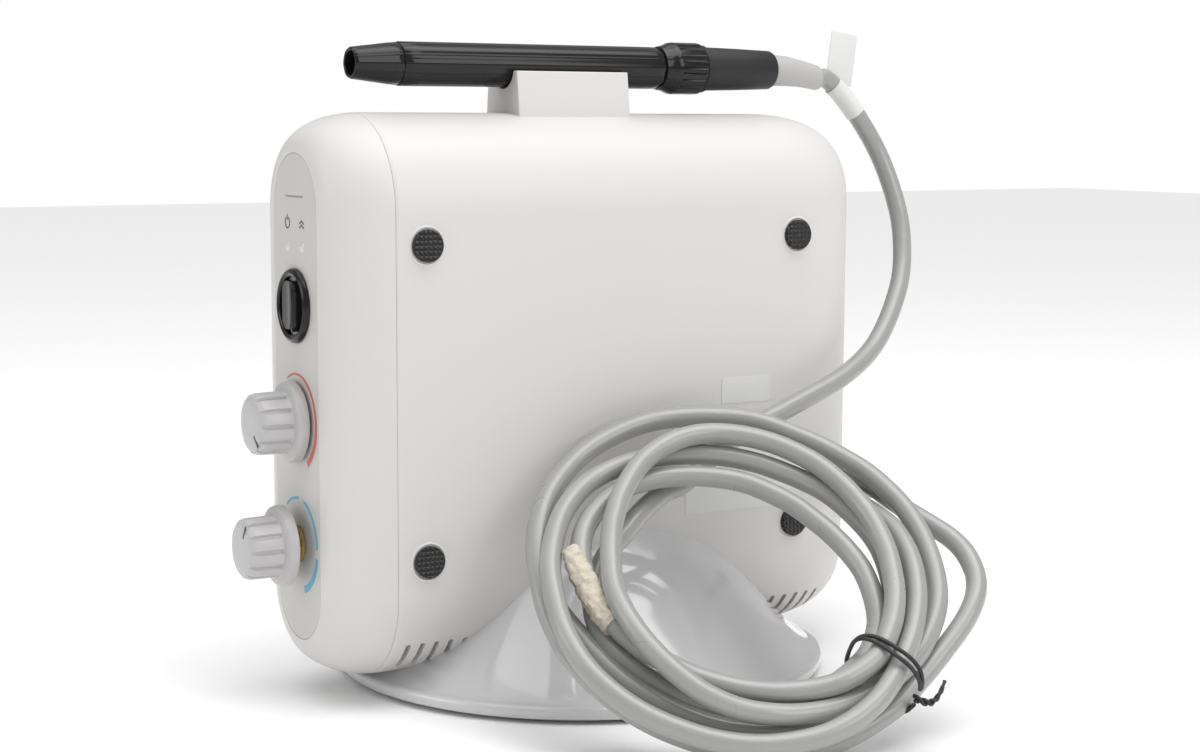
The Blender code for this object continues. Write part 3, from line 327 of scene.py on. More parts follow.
def tube_along(line, radius, rings=8, taper=None):
    """A round tube on a line, made as a curve and turned into a mesh."""
    curve = bpy.data.curves.new("tube", "CURVE")
    curve.dimensions = "3D"
    curve.bevel_depth = radius * MM
    curve.bevel_resolution = rings
    curve.use_fill_caps = True
    spline = curve.splines.new("POLY")
    spline.points.add(len(line) - 1)
    for i, (spot, place) in enumerate(zip(spline.points, line)):
        spot.co = (*place, 1.0)
        spot.radius = taper(i / (len(line) - 1)) if taper else 1.0
    obj = bpy.data.objects.new("tube", curve)
    bpy.context.scene.collection.objects.link(obj)
    choose(obj)
    bpy.ops.object.convert(target="MESH")
    obj = bpy.context.object
    close_up(obj, 50)
    return obj


# ---------------------------------------------------------------- finishes

def new_socket(group, name, way, kind, default=None):
    made = group.interface.new_socket(name=name, in_out=way, socket_type=kind)
    if default is not None:
        made.default_value = default
    return made


def make_surface_group():
    """Moulded surface: drifting colour and gloss, fine grain and faint scuffs, from Object coordinates."""
    group = bpy.data.node_groups.new("moulded_surface", "ShaderNodeTree")
    new_socket(group, "Colour", "INPUT", "NodeSocketColor", (0.8, 0.8, 0.8, 1))
    new_socket(group, "Drift Colour", "INPUT", "NodeSocketColor", (0.7, 0.7, 0.7, 1))
    new_socket(group, "Roughness", "INPUT", "NodeSocketFloat", 0.4)
    new_socket(group, "Roughness Spread", "INPUT", "NodeSocketFloat", 0.05)
    new_socket(group, "Grain Scale", "INPUT", "NodeSocketFloat", 900.0)
    new_socket(group, "Grain Depth", "INPUT", "NodeSocketFloat", 0.5)
    new_socket(group, "Drift Scale", "INPUT", "NodeSocketFloat", 14.0)
    new_socket(group, "Colour", "OUTPUT", "NodeSocketColor")
    new_socket(group, "Roughness", "OUTPUT", "NodeSocketFloat")
    new_socket(group, "Height", "OUTPUT", "NodeSocketFloat")
    nodes, links = group.nodes, group.links
    inside = nodes.new("NodeGroupInput")
    outside = nodes.new("NodeGroupOutput")
    place = nodes.new("ShaderNodeTexCoord")
    drift = nodes.new("ShaderNodeTexNoise")
    drift.inputs["Detail"].default_value = 3
    grain = nodes.new("ShaderNodeTexNoise")
    grain.inputs["Detail"].default_value = 2
    scuff = nodes.new("ShaderNodeTexNoise")
    scuff.inputs["Scale"].default_value = 120
    scuff.inputs["Detail"].default_value = 6
    scuff.inputs["Distortion"].default_value = 1.5
    for texture in (drift, grain, scuff):
        links.new(place.outputs["Object"], texture.inputs["Vector"])
    links.new(inside.outputs["Drift Scale"], drift.inputs["Scale"])
    links.new(inside.outputs["Grain Scale"], grain.inputs["Scale"])
    mix = nodes.new("ShaderNodeMix")
    mix.data_type = "RGBA"
    links.new(drift.outputs["Fac"], mix.inputs["Factor"])
    links.new(inside.outputs["Colour"], mix.inputs["A"])
    links.new(inside.outputs["Drift Colour"], mix.inputs["B"])
    links.new(mix.outputs["Result"], outside.inputs["Colour"])
    centred = nodes.new("ShaderNodeMath")
    centred.operation = "SUBTRACT"
    centred.inputs[1].default_value = 0.5
    links.new(scuff.outputs["Fac"], centred.inputs[0])
    spread = nodes.new("ShaderNodeMath")
    spread.operation = "MULTIPLY_ADD"
    links.new(centred.outputs[0], spread.inputs[0])
    links.new(inside.outputs["Roughness Spread"], spread.inputs[1])
    links.new(inside.outputs["Roughness"], spread.inputs[2])
    links.new(spread.outputs[0], outside.inputs["Roughness"])
    tall = nodes.new("ShaderNodeMath")
    tall.operation = "MULTIPLY"
    links.new(grain.outputs["Fac"], tall.inputs[0])
    links.new(inside.outputs["Grain Depth"], tall.inputs[1])
    links.new(tall.outputs[0], outside.inputs["Height"])
    return group


SURFACE = make_surface_group()


def finish(name, colour, drift=None, rough=0.4, spread=0.08, grain=900.0, depth=0.5, bump=0.08,
           scale=14.0, metal=0.0, coat=0.0, coat_rough=0.08, glass=0.0, sheen=0.5, reach=0.0004, height=None):
    """A material whose colour, gloss and fine relief come from the moulded surface group."""
    mat = bpy.data.materials.new(name)
    mat.use_nodes = True
    nodes, links = mat.node_tree.nodes, mat.node_tree.links
    shader = nodes["Principled BSDF"]
    group = nodes.new("ShaderNodeGroup")
    group.node_tree = SURFACE
    drift = drift or tuple(c * 0.94 for c in colour)
    group.inputs["Colour"].default_value = (*colour, 1)
    group.inputs["Drift Colour"].default_value = (*drift, 1)
    group.inputs["Roughness"].default_value = rough
    group.inputs["Roughness Spread"].default_value = spread
    group.inputs["Grain Scale"].default_value = grain
    group.inputs["Grain Depth"].default_value = depth
    group.inputs["Drift Scale"].default_value = scale
    relief = nodes.new("ShaderNodeBump")
    relief.inputs["Strength"].default_value = bump
    relief.inputs["Distance"].default_value = reach
    links.new(group.outputs["Colour"], shader.inputs["Base Color"])
    links.new(group.outputs["Roughness"], shader.inputs["Roughness"])
    if height:
        links.new(height(nodes, links, group), relief.inputs["Height"])
    else:
        links.new(group.outputs["Height"], relief.inputs["Height"])
    links.new(relief.outputs["Normal"], shader.inputs["Normal"])
    shader.inputs["Metallic"].default_value = metal
    shader.inputs["Specular IOR Level"].default_value = sheen
    shader.inputs["Coat Weight"].default_value = coat
    shader.inputs["Coat Roughness"].default_value = coat_rough
    shader.inputs["Transmission Weight"].default_value = glass
    mat.diffuse_color = (*colour, 1)
    return mat


def waffle(nodes, links, group):
    """Raised square pattern on the rubber feet, in the plane of the broad side."""
    place = nodes.new("ShaderNodeTexCoord")
    sides = []
    for axis in ("Y", "Z"):
        wave = nodes.new("ShaderNodeTexWave")
        wave.bands_direction = axis
        wave.wave_profile = "TRI"
        wave.inputs["Scale"].default_value = 185
        links.new(place.outputs["Object"], wave.inputs["Vector"])
        sides.append(wave)
    low = nodes.new("ShaderNodeMath")
    low.operation = "MINIMUM"
    links.new(sides[0].outputs["Fac"], low.inputs[0])
    links.new(sides[1].outputs["Fac"], low.inputs[1])
    add = nodes.new("ShaderNodeMath")
    add.operation = "ADD"
    links.new(low.outputs[0], add.inputs[0])
    links.new(group.outputs["Height"], add.inputs[1])
    return add.outputs[0]


WHITE = finish("white_moulding", (0.66, 0.645, 0.635), (0.635, 0.62, 0.61), rough=0.42, spread=0.1,
               grain=1500, depth=0.7, bump=0.10)
PEARL = finish("grey_gloss_moulding", (0.60, 0.595, 0.60), (0.565, 0.56, 0.57), rough=0.16, spread=0.06,
               grain=500, depth=0.3, bump=0.02, coat=0.9, coat_rough=0.03)
FILM = finish("panel_film", (0.56, 0.55, 0.53), (0.53, 0.52, 0.50),
              rough=0.4, spread=0.06, grain=2200, bump=0.08)
KNOB = finish("knob_moulding", (0.50, 0.49, 0.49), (0.46, 0.455, 0.455),
              rough=0.34, spread=0.1, grain=1600, bump=0.1)
BLACK = finish("black_gloss_moulding", (0.009, 0.009, 0.010), (0.013, 0.013, 0.014), rough=0.13, spread=0.08,
               grain=700, depth=0.3, bump=0.02, sheen=0.3)
SLEEVE = finish("black_satin_sleeve", (0.014, 0.014, 0.016), (0.021, 0.021, 0.023), rough=0.48, spread=0.12,
                grain=1800, bump=0.15, sheen=0.35)
RUBBER = finish("black_rubber", (0.018, 0.018, 0.018), (0.03, 0.03, 0.029), rough=0.75, spread=0.15,
                grain=1400, depth=0.3, bump=0.2)
WAFFLE = finish("waffled_rubber", (0.016, 0.016, 0.016), (0.026, 0.026, 0.026), rough=0.42, spread=0.15,
                grain=1400, depth=0.2, bump=1.0, reach=0.0012, height=waffle)
CORD = finish("grey_silicone_cord", (0.33, 0.33, 0.325), (0.30, 0.30, 0.295), rough=0.30, spread=0.14,
              grain=700, depth=0.4, bump=0.04, scale=30, coat=0.35, coat_rough=0.12)
RELIEF = finish("grey_strain_relief", (0.46, 0.45, 0.44), (0.42, 0.41, 0.40),
                rough=0.5, grain=1500, bump=0.12)
PAPER = finish("white_paper_label", (0.70, 0.70, 0.695), (0.67, 0.67, 0.66), rough=0.55, spread=0.08,
               grain=2600, depth=0.6, bump=0.12, scale=50)
STEEL = finish("dull_steel", (0.55, 0.55, 0.56), (0.5, 0.5, 0.51),
               rough=0.35, spread=0.15, grain=600, bump=0.08, metal=1.0)
ALLOY = finish("aluminium", (0.72, 0.72, 0.73), (0.66, 0.66, 0.67),
               rough=0.4, spread=0.15, grain=500, bump=0.1, metal=1.0)
BRASS = finish("turned_brass", (0.72, 0.52, 0.24), (0.6, 0.43, 0.2),
               rough=0.28, spread=0.2, grain=900, bump=0.1, metal=1.0)
COPPER = finish("copper_winding", (0.7, 0.33, 0.17), (0.55, 0.25, 0.13),
                rough=0.38, spread=0.2, grain=900, bump=0.25, metal=1.0)
BOARD = finish("circuit_board", (0.03, 0.17, 0.07), (0.02, 0.12, 0.05),
               rough=0.45, spread=0.15, grain=500, bump=0.2)
LENS = finish("window_lens", (0.62, 0.64, 0.60), (0.55, 0.57, 0.54),
              rough=0.14, grain=900, bump=0.02, coat=0.5)
TUBE = finish("milky_tube", (0.66, 0.70, 0.74), (0.58, 0.62, 0.67), rough=0.25, grain=500, bump=0.05)
RED = finish("red_print", (0.60, 0.14, 0.10), (0.55, 0.12, 0.09), rough=0.45, grain=2400, bump=0.08)
BLUE = finish("blue_print", (0.12, 0.42, 0.58), (0.10, 0.37, 0.52), rough=0.45, grain=2400, bump=0.08)
INK = finish("dark_print", (0.06, 0.06, 0.065), (0.075, 0.075, 0.08), rough=0.5, grain=2400, bump=0.08)
GREY_INK = finish("grey_print", (0.28, 0.28, 0.275), (0.24, 0.24, 0.235), rough=0.5, grain=2400, bump=0.08)
MARK = finish("pale_print", (0.75, 0.75, 0.74), (0.7, 0.7, 0.69), rough=0.5, grain=2400, bump=0.08)
TAPE = finish("beige_tape", (0.66, 0.60, 0.50), (0.55, 0.49, 0.40), rough=0.7, spread=0.15,
              grain=900, depth=1.0, bump=0.5, scale=180)
TIE = finish("tie_sleeve", (0.015, 0.015, 0.015), (0.03, 0.03, 0.03),
             rough=0.45, spread=0.2, grain=1300, bump=0.2)


# ---------------------------------------------------------------- camera and cord

VIEW_TURN, VIEW_RISE, VIEW_ROLL = math.radians(59.19), math.radians(6.97), math.radians(0.23)
VIEW_PLACE = (0.67427, -0.39052, 0.20250)


def make_camera():
    """The camera, set by the way that it looks back along and a slight roll."""
    data = bpy.data.cameras.new("view")
    data.lens = 63.63
    data.sensor_width = 36.0
    data.clip_start = 0.05
    camera = bpy.data.objects.new("view", data)
    bpy.context.scene.collection.objects.link(camera)
    back = Vector((math.sin(VIEW_TURN) * math.cos(VIEW_RISE), -math.cos(VIEW_TURN) * math.cos(VIEW_RISE),
                   math.sin(VIEW_RISE)))
    across = Vector((math.cos(VIEW_TURN), math.sin(VIEW_TURN), 0))
    up = back.cross(across)
    side = across * math.cos(VIEW_ROLL) + up * math.sin(VIEW_ROLL)
    top = up * math.cos(VIEW_ROLL) - across * math.sin(VIEW_ROLL)
    turn = Matrix((side, top, back)).transposed().to_4x4()
    camera.matrix_world = Matrix.Translation(VIEW_PLACE) @ turn
    bpy.context.scene.camera = camera


COIL_MIDDLE = (103.7, 112.1, 54.4)
COIL_LEAN, COIL_TURN = math.radians(48.6), math.radians(-20.6)

# The coil's strand as single points: running angle in degrees, radius and height over its middle plane
COIL_ROUTE = (
    (99, 47.5, -13), (112, 44.2, -11.5), (128, 41, -9.8), (145, 39.8, -8.5), (162, 42.5, -8),
    (180, 46.5, -7.5),
    (195, 50, -7), (210, 51.5, -7), (226, 51, -7), (241, 51.3, -7), (252, 52, -7), (270, 52, -6),
    (290, 51.8, -5), (305, 52, -3.5), (317, 52.2, -2.6), (325, 51.2, -2), (333, 49.8, -1.5), (343, 47, -1.2),
    (356, 43.7, -1), (368, 40.6, -1), (380, 38.2, -1), (392, 36.6, -1), (405, 35.8, -0.5), (420, 35.4, 0),
    (437, 36.9, 0), (458, 39.2, 0), (477, 43.2, 0), (494, 47.6, 0), (513, 50.8, 0), (528, 51.8, 0),
    (543, 50.8, 0), (560, 49.2, 0), (576, 47.6, -0.2), (592, 46.9, 0.2), (606, 47.8, 0.8), (622, 49, 1),
    (636, 51.3, 2), (650, 54, 3), (660, 55.9, 4.5), (672, 56.6, 5.8), (684, 55, 6.5), (696, 53.3, 6.5),
    (708, 51.8, 6), (722, 50.8, 6), (738, 50.4, 6), (756, 50.6, 6), (772, 51.4, 6), (790, 52.2, 6),
    (808, 52.4, 6.5), (824, 51.2, 7.2), (842, 48.2, 7.5), (860, 44.8, 7), (876, 43, 6), (890, 42.4, 5),
    (902, 42.8, 5), (914, 44.6, 6), (926, 46.4, 7), (938, 48.4, 7.2), (950, 51, 7), (961, 54, 6.5),
    (970, 56.6, 5.7), (981, 58.5, 4), (993, 59.8, 2.8), (1004, 60.4, 1), (1014, 60.8, -0.8),
    (1024, 61.4, -2.4), (1036, 63.2, -3.6), (1050, 66.2, -3.2), (1066, 68.6, -2.2), (1081, 68.7, -1.7),
    (1097, 68.2, -1), (1112, 67.2, -1), (1124, 65.9, -1), (1139, 65.2, -1), (1158, 66.5, -1),
    (1183, 67.4, -1.2), (1204, 67.9, -1.5), (1222, 67.9, -2.3), (1238, 66.9, -3.2), (1256, 65.2, -4.3),
    (1273, 64.7, -6), (1290, 64.7, -7), (1310, 64.5, -7.6), (1330, 65, -8), (1350, 66.4, -8.6),
    (1370, 67.4, -9.2), (1390, 68.4, -9.4), (1403, 69.8, -8.6), (1412, 72.6, -7), (1422, 77.6, -5.2),
    (1428, 80.9, -4), (1433, 83, -4), (1438, 83.7, -4), (1444, 82.8, -4.5), (1449, 80.3, -5), (1454, 77, -6),
    (1460, 73.4, -7), (1468, 70.8, -8), (1480, 69.3, -8.4), (1494, 69.4, -7.6), (1510, 70.6, -6.2),
    (1526, 71.4, -5.5), (1545, 71.6, -5.5), (1563, 71, -6), (1582, 69.6, -7), (1598, 67.6, -8.5),
    (1612, 64.6, -10.2), (1625, 60.2, -10.8), (1638, 57.2, -9.6), (1656, 56.4, -8), (1670, 56.8, -7),
    (1684, 57.6, -7), (1700, 58.6, -7.4), (1720, 59.6, -8), (1740, 59.2, -7.4), (1757, 57.2, -5),
    (1773, 55, -2.8), (1790, 53.2, -1.5), (1808, 51.8, -1), (1824, 49.8, -0.8), (1842, 48.2, -0.5),
    (1864, 46.8, -0.5), (1880, 47.4, -0.3), (1896, 48.9, 0), (1912, 51.6, 0), (1928, 55, 0.5),
    (1943, 58.2, 1),
    (1958, 60.2, 1.2), (1974, 61.6, 1), (1987, 62.8, 1.4), (2003, 65.5, 2), (2018, 67.6, 1.6),
    (2034, 68.1, 0.6), (2051, 68.7, 0.5), (2066, 69.2, 0.5), (2080, 69.6, 1.8), (2090, 69.2, 3.2),
    (2099, 67.8, 4.3), (2107, 65.9, 4.6), (2118, 63.3, 4.4), (2131, 61.4, 3.6), (2145, 60.5, 2.8),
    (2159, 60, 2), (2172, 59.9, -0.5), (2182, 60.3, -4.8), (2191, 61.6, -10), (2199, 65, -15),
)

CORD_UPPER = (
    (0, 219.8, 217.7), (0, 223.5, 217.5), (0.8, 229.5, 212.8), (2.0, 237.5, 203.5), (4.5, 247, 187.9),
    (10, 251.2, 170.2), (16.8, 249.5, 155), (25.5, 241.5, 137.5), (37, 222.5, 118.3), (46, 200, 107),
    (51, 171.4, 97.5), (54, 143, 87.5),
)
CORD_TAIL = (
    (73, 187.7, 75.4), (56, 200.9, 71.6), (40, 213.4, 68.2), (26, 221.2, 65.4), (11, 226.5, 64.5),
    (-5, 229.3, 64), (-19, 233.5, 63), (-31, 239.6, 61.5), (-36.6, 246.1, 59.5), (-37.8, 254.5, 57.3),
    (-33.8, 262.3, 55), (-26, 266.3, 53), (-17.4, 265.1, 51.3), (-11.2, 259.7, 50.3), (-9, 252, 50),
    (-9, 241.5, 50),
)


def coil_axes():
    """The leaning coil's own rightward, upward and facing directions."""
    right = Vector((-math.sin(COIL_TURN), math.cos(COIL_TURN), 0))
    up = Vector((-math.sin(COIL_LEAN) * math.cos(COIL_TURN), -math.sin(COIL_LEAN) * math.sin(COIL_TURN),
                 math.cos(COIL_LEAN)))
    return right, up, right.cross(up)


def coil_spot(degrees, radius, height):
    """A point on the coil from its angle, its radius and its height over the middle plane."""
    right, up, facing = coil_axes()
    a = math.radians(degrees)
    return at(*COIL_MIDDLE) + (radius * (math.cos(a) * right + math.sin(a) * up) + height * facing) * MM


def make_cord():
    """The cord from the strain relief through the coil to the gland, and the line that it follows."""
    points = [at(*p) for p in CORD_UPPER] + [coil_spot(*p) for p in COIL_ROUTE] + [at(*p) for p in CORD_TAIL]
    line = smooth_line(points, 7)
    cord = tube_along(line, 0.5 * CORD_DIAMETER, 7)
    cord.name = "handpiece_cord"
    cord.data.materials.append(CORD)
    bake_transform(cord)
    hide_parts("cord_coil", "cord_upper", "cord_tail")
    return cord, line


def make_tie():
    """Two turns of black wire tie round the strands, twisted together outside them."""
    tilt = -46.0
    strands = []
    for shift in (0.0, 2.4):
        loop = []
        for i in range(25):
            a = math.radians(14 + 332 * i / 24)
            r = 60.2 + 13.4 * math.copysign(abs(math.cos(a)) ** 0.7, math.cos(a))
            h = -1.8 + 12.2 * math.copysign(abs(math.sin(a)) ** 0.75, math.sin(a))
            loop.append(coil_spot(tilt + shift * math.sin(a), r, h))
        strands.append(tube_along(smooth_line(loop, 4), 0.7, 4))
    right, up, facing = coil_axes()
    heading = (up * -0.10 + right * 0.9 + facing * 0.05).normalized()
    root = coil_spot(tilt, 72.6, -3.0)
    ends = []
    for side in (0.0, math.pi):
        twist = []
        for i in range(33):
            t = i / 32
            out = root + heading * (11.5 * t) * MM
            out = out + (up * (6.5 * max(0.0, t - 0.35) ** 1.5) - up * (4.0 * t * (1 - t))) * 2.0 * MM
            swirl = side + t * 15
            reach = 0.75 * (1 - 0.4 * t)
            twist.append(out + (math.cos(swirl) * up + math.sin(swirl) * facing) * reach * MM)
        ends.append(tube_along(smooth_line(twist, 2), 0.75, 4, taper=lambda t: 1.0 - 0.35 * t))
    return take(join((*strands, *ends), strands[0]), "wire_tie", TIE, "base", "twist_tie")


def make_tape():
    """A short piece of creased paper tape wrapped on one strand, its edges uneven."""
    route = ((533, 55.6, 3.4), (538, 53.6, 2.2), (545, 51.4, 0.8), (552, 50.2, 0.2), (560, 49.3, 0),
             (566, 48.6, 0))
    line = smooth_line([coil_spot(*spot) for spot in route], 6)
    tape = tube_along(line, 4.1, 9, taper=lambda t: 0.62 + 0.38 * min(1.0, t * 2.2))
    edit(tape)
    bpy.ops.mesh.select_all(action="SELECT")
    bpy.ops.mesh.subdivide(number_cuts=1)
    choose(tape)
    crease = bpy.data.textures.new("crease", "CLOUDS")
    crease.noise_scale = 0.0022
    finish_with(tape, "DISPLACE", texture=crease, strength=0.0019, mid_level=0.32)
    close_up(tape, 25)
    return take(tape, "tape_wrap", TAPE, "base")


def make_flag():
    """A folded paper flag, wrapped once round the cord below the strain relief."""
    route = ((1.9, 237.0, 204.1), (1.3, 233.3, 208.6), (0.8, 229.8, 212.5), (0.4, 226.8, 215.1))
    wrap = tube_along(smooth_line([at(*spot) for spot in route], 5), 3.95, 9)
    flag = block((0.45, 13.0, 20.0), at(0.6, 230.6, 225.4), 0.12, 2,
                 turn=(math.radians(-8), 0, math.radians(3)))
    return take(join((wrap, flag), flag), "cord_flag_label", PAPER, "handpiece_connector", "cord_flag")


make_camera()
cord, cord_line = make_cord()
tie = make_tie()
tape = make_tape()
flag = make_flag()


# ---------------------------------------------------------------- casing

def slot_tools():
    """Upright slabs with rounded ends that cut the ventilation slots low on both broad sides."""
    depths = [27.0 + 5.45 * i for i in range(6)] + [201.4 - 5.45 * i for i in range(6)]
    tools = []
    for side in (-1, 1):
        for depth in depths:
            tools.append(block((20, 2.0, 19.5), at(side * 29, depth, 12.85), 0.85, 4))
    return join(tools, tools[0])


def make_casing():
    """The two shells, each drawn from its inner floor round its lip and back outside."""
    floor = (18.48, OVERLAY_LOW - 0.25, OVERLAY_HIGH + 0.25, 18.35, 1.1)
    brim = (18.48, OVERLAY_LOW - 0.25, OVERLAY_HIGH + 0.25, 18.35, 0.1)
    lip = (18.6, OVERLAY_LOW - 0.35, OVERLAY_HIGH + 0.35, 18.45, 0.0)
    outer = [casing_section(d) for d in eased(0.0, FRONT_DEPTH, 14) if d < SEAM - 0.6]
    seam = SEAM - 0.05
    edge = [casing_section(seam - 0.2), casing_section(seam, 0.14)]
    inner = [casing_section(d, WALL, LIP_INSET) for d in (seam, 12.0, 6.0, 3.4)]
    front = body_through([floor, brim, lip] + outer + edge + inner, 12)
    take(front, "front_half", WHITE, "base", "front_shell")
    seam = SEAM + 0.05
    edge = [casing_section(seam, 0.14), casing_section(seam + 0.2)]
    outer = [casing_section(d) for d in eased(0.0, FRONT_DEPTH, 14) if d > SEAM + 0.6]
    outer += [casing_section(60.0), casing_section(120.0)]
    outer += [casing_section(d) for d in eased(BODY_LENGTH - REAR_DEPTH, BODY_LENGTH, 14, False)]
    inner_depths = (215.4, 212.0, 200.0, 186.0, 40.0, FRONT_DEPTH, seam)
    inner = [casing_section(d, WALL, LIP_INSET) for d in inner_depths]
    rear = body_through(inner + edge + outer, 12)
    cut_out(rear, slot_tools())
    close_up(rear, 35, flip=False)
    take(rear, "rear_half", WHITE, "base", "rear_shell")


def make_overlay():
    """The panel film, with a slightly softened front edge."""
    rim = (18.4, OVERLAY_LOW - 0.15, OVERLAY_HIGH + 0.15, 18.3)
    face = (18.25, OVERLAY_LOW + 0.1, OVERLAY_HIGH - 0.1, 18.15, 0.0)
    overlay = body_through([face, (*rim, 0.18), (*rim, 0.95)], 14)
    take(overlay, "control_panel_film", FILM, "base", "panel_overlay")


def print_arc(name, ink, x, z, radius, start, end, thin, fat):
    """A printed arc round a point of the panel, in degrees from its right, that widens along its sweep."""
    count = max(6, int(abs(end - start) / 5))
    turn = math.radians(end - start) / count
    first = math.radians(start)

    def on_arc(angle):
        return at(x + radius * math.cos(angle), PRINT_DEPTH, z + radius * math.sin(angle))

    fresh()
    bpy.ops.mesh.primitive_plane_add(size=1, location=on_arc(first), rotation=(0, -first, 0))
    arc = bpy.context.object
    arc.scale = (thin * MM, PRINT_THICK * MM, 1)
    settle(arc)
    edit(arc)
    bpy.ops.mesh.select_all(action="SELECT")
    width = thin
    for i in range(1, count + 1):
        spot = on_arc(first + turn * i)
        step = spot - on_arc(first + turn * (i - 1))
        wide = thin + (fat - thin) * i / count
        bpy.ops.mesh.extrude_region_move(TRANSFORM_OT_translate={"value": step})
        bpy.ops.transform.rotate(value=turn, orient_axis="Y", center_override=spot)
        bpy.ops.transform.resize(value=(wide / width, 1, wide / width), center_override=spot)
        width = wide
    close_up(arc)
    take(arc, name, ink, "base")


def make_prints():
    """The scales round both knobs, the two symbols and the rule on the panel."""
    print_arc("power_scale_arc", RED, 0, POWER_Z, 16.4, 120, -58, 0.5, 2.2)
    print_arc("water_scale_arc_low", BLUE, 0, WATER_Z, 16.0, 129, 88, 0.6, 1.0)
    print_arc("water_scale_arc_mid", BLUE, 0, WATER_Z, 16.1, 73, 2, 1.0, 1.7)
    print_arc("water_scale_arc_high", BLUE, 0, WATER_Z, 16.1, -10, -73, 1.7, 2.6)
    print_arc("power_symbol_ring", INK, -6.1, 166.2, 1.9, 60, -240, 0.5, 0.5)
    stroke = block((0.5, PRINT_THICK, 2.2), at(-6.1, PRINT_DEPTH, 168.0), 0.05, 1)
    take(stroke, "power_symbol_bar", INK, "base")
    for row, z in enumerate((165.2, 166.6)):
        for side, word in ((-1, "left"), (1, "right")):
            stroke = block((2.3, PRINT_THICK, 0.55), at(6.1 + side * 0.9, PRINT_DEPTH, z), 0.05, 1,
                           turn=(0, side * math.radians(28), 0))
            take(stroke, f"water_symbol_{row}_{word}", INK, "base")
    rule = block((15.0, 0.14, 0.6), at(0, PRINT_DEPTH, 175.2), 0.05, 1)
    take(rule, "panel_rule", GREY_INK, "base")


def make_windows():
    """The two small round lenses below the symbols."""
    profile = [(0.6, -0.42), (1.3, -0.34), (1.8, -0.1), (2.1, 0.1), (2.1, 3.4)]
    for side, x in (("left", -6.2), ("right", 6.2)):
        lens = turned(profile, at(x, 0, 158.2), "Y", 32)
        take(lens, "window_" + side, LENS, "base", "indicator_lens_" + side)


make_casing()
make_overlay()
make_prints()
make_windows()


# ---------------------------------------------------------------- switch and knobs

def make_bezel():
    """The switch's round rim and its barrel behind the panel."""
    profile = [(10.2, 5.0), (10.2, -1.7), (10.7, -2.15), (11.4, -2.3), (12.3, -1.9), (12.8, -1.2),
               (12.9, -0.3), (11.2, -0.3), (11.2, 20.4), (10.6, 21)]
    take(turned(profile, at(0, 0, SWITCH_Z), "Y", 80), "switch_bezel", BLACK, "base", "switch_body")


def make_rocker():
    """A shallow vee paddle with rounded corners, its left half pressed in."""
    rocker = block((14.4, 6.4, 17.4), at(0, 0.2, SWITCH_Z))
    edit(rocker)
    bpy.ops.mesh.select_all(action="SELECT")
    bpy.ops.mesh.bisect(plane_co=at(0, 0, SWITCH_Z), plane_no=(1, 0, 0))
    pick(lambda co: abs(co.x) < 1e-5 and co.y < FRONT_Y)
    bpy.ops.transform.translate(value=(0, 1.3 * MM, 0))
    edit(rocker)
    pick_edges(lambda a, b: abs(a.x) > 7 * MM and abs(a.x - b.x) < 1e-5 and abs(a.z - b.z) < 1e-5)
    bpy.ops.mesh.bevel(offset=3.4 * MM, segments=6)
    fresh()
    soften(rocker, 0.5, 3, 50)
    edit(rocker)
    bpy.ops.mesh.select_all(action="SELECT")
    bpy.ops.transform.rotate(value=math.radians(PRESS_ANGLE), orient_axis="Z",
                             center_override=at(0, 4.5, SWITCH_Z))
    close_up(rocker)
    take(rocker, "rocker_paddle", BLACK, "rocker", "rocker")
    dash = block((1.0, 0.3, 4.6), at(-4.4, -1.25, SWITCH_Z), 0.1, 1, turn=(0, 0, math.radians(-20)))
    take(dash, "rocker_mark", MARK, "rocker")


def make_knob(name, back, z, pointer, body, node):
    """A control knob: flared skirt, twelve-groove grip and a softly domed front with a pointer line."""
    profile = [(7.0, -3.0), (7.0, 0.0), (13.4, 0.0), (14.0, -0.4), (14.0, -2.6), (13.6, -3.5), (12.6, -4.1),
               (11.1, -4.6), (10.8, -5.4), (10.7, -9.5), (10.6, -13.9), (10.2, -15.2), (9.2, -16.0),
               (7.0, -16.35), (3.5, -16.4), (0.6, -16.4)]
    centre = at(0, -back, z)
    knob = turned(profile, centre, "Y", 144)
    edit(knob)

    def in_groove(co):
        spot = co - centre
        reach = math.hypot(spot.x, spot.z)
        turn = math.degrees(math.atan2(spot.z, spot.x)) % 30
        return (turn < 3 or turn > 27) and 9.5 * MM < reach < 11.2 * MM and -15.6 * MM < spot.y < -5 * MM

    pick(in_groove)
    bpy.ops.transform.resize(value=(0.92, 1, 0.92), center_override=centre)
    close_up(knob, 40)
    take(knob, name, KNOB, body, node)
    a = math.radians(pointer)
    spot = centre + Vector((7.4 * math.cos(a), -16.35, 7.4 * math.sin(a))) * MM
    line = block((5.2, 0.3, 0.9), spot, 0.1, 1, turn=(0, -a, 0))
    take(line, name + "_pointer", INK, body)


make_bezel()
make_rocker()
make_knob("power_dial", 0.9, POWER_Z, -45, "power_knob", "power_knob")
make_knob("water_dial", 5.0, WATER_Z, 60, "water_knob", "water_knob")
stem = turned([(2.9, -12.0), (3.0, -11.8), (3.0, 14.0), (2.7, 14.3)], at(0, 0, WATER_Z), "Y", 40)
take(stem, "water_spindle", BRASS, "water_knob", "water_stem")


# ---------------------------------------------------------------- feet, labels and stand

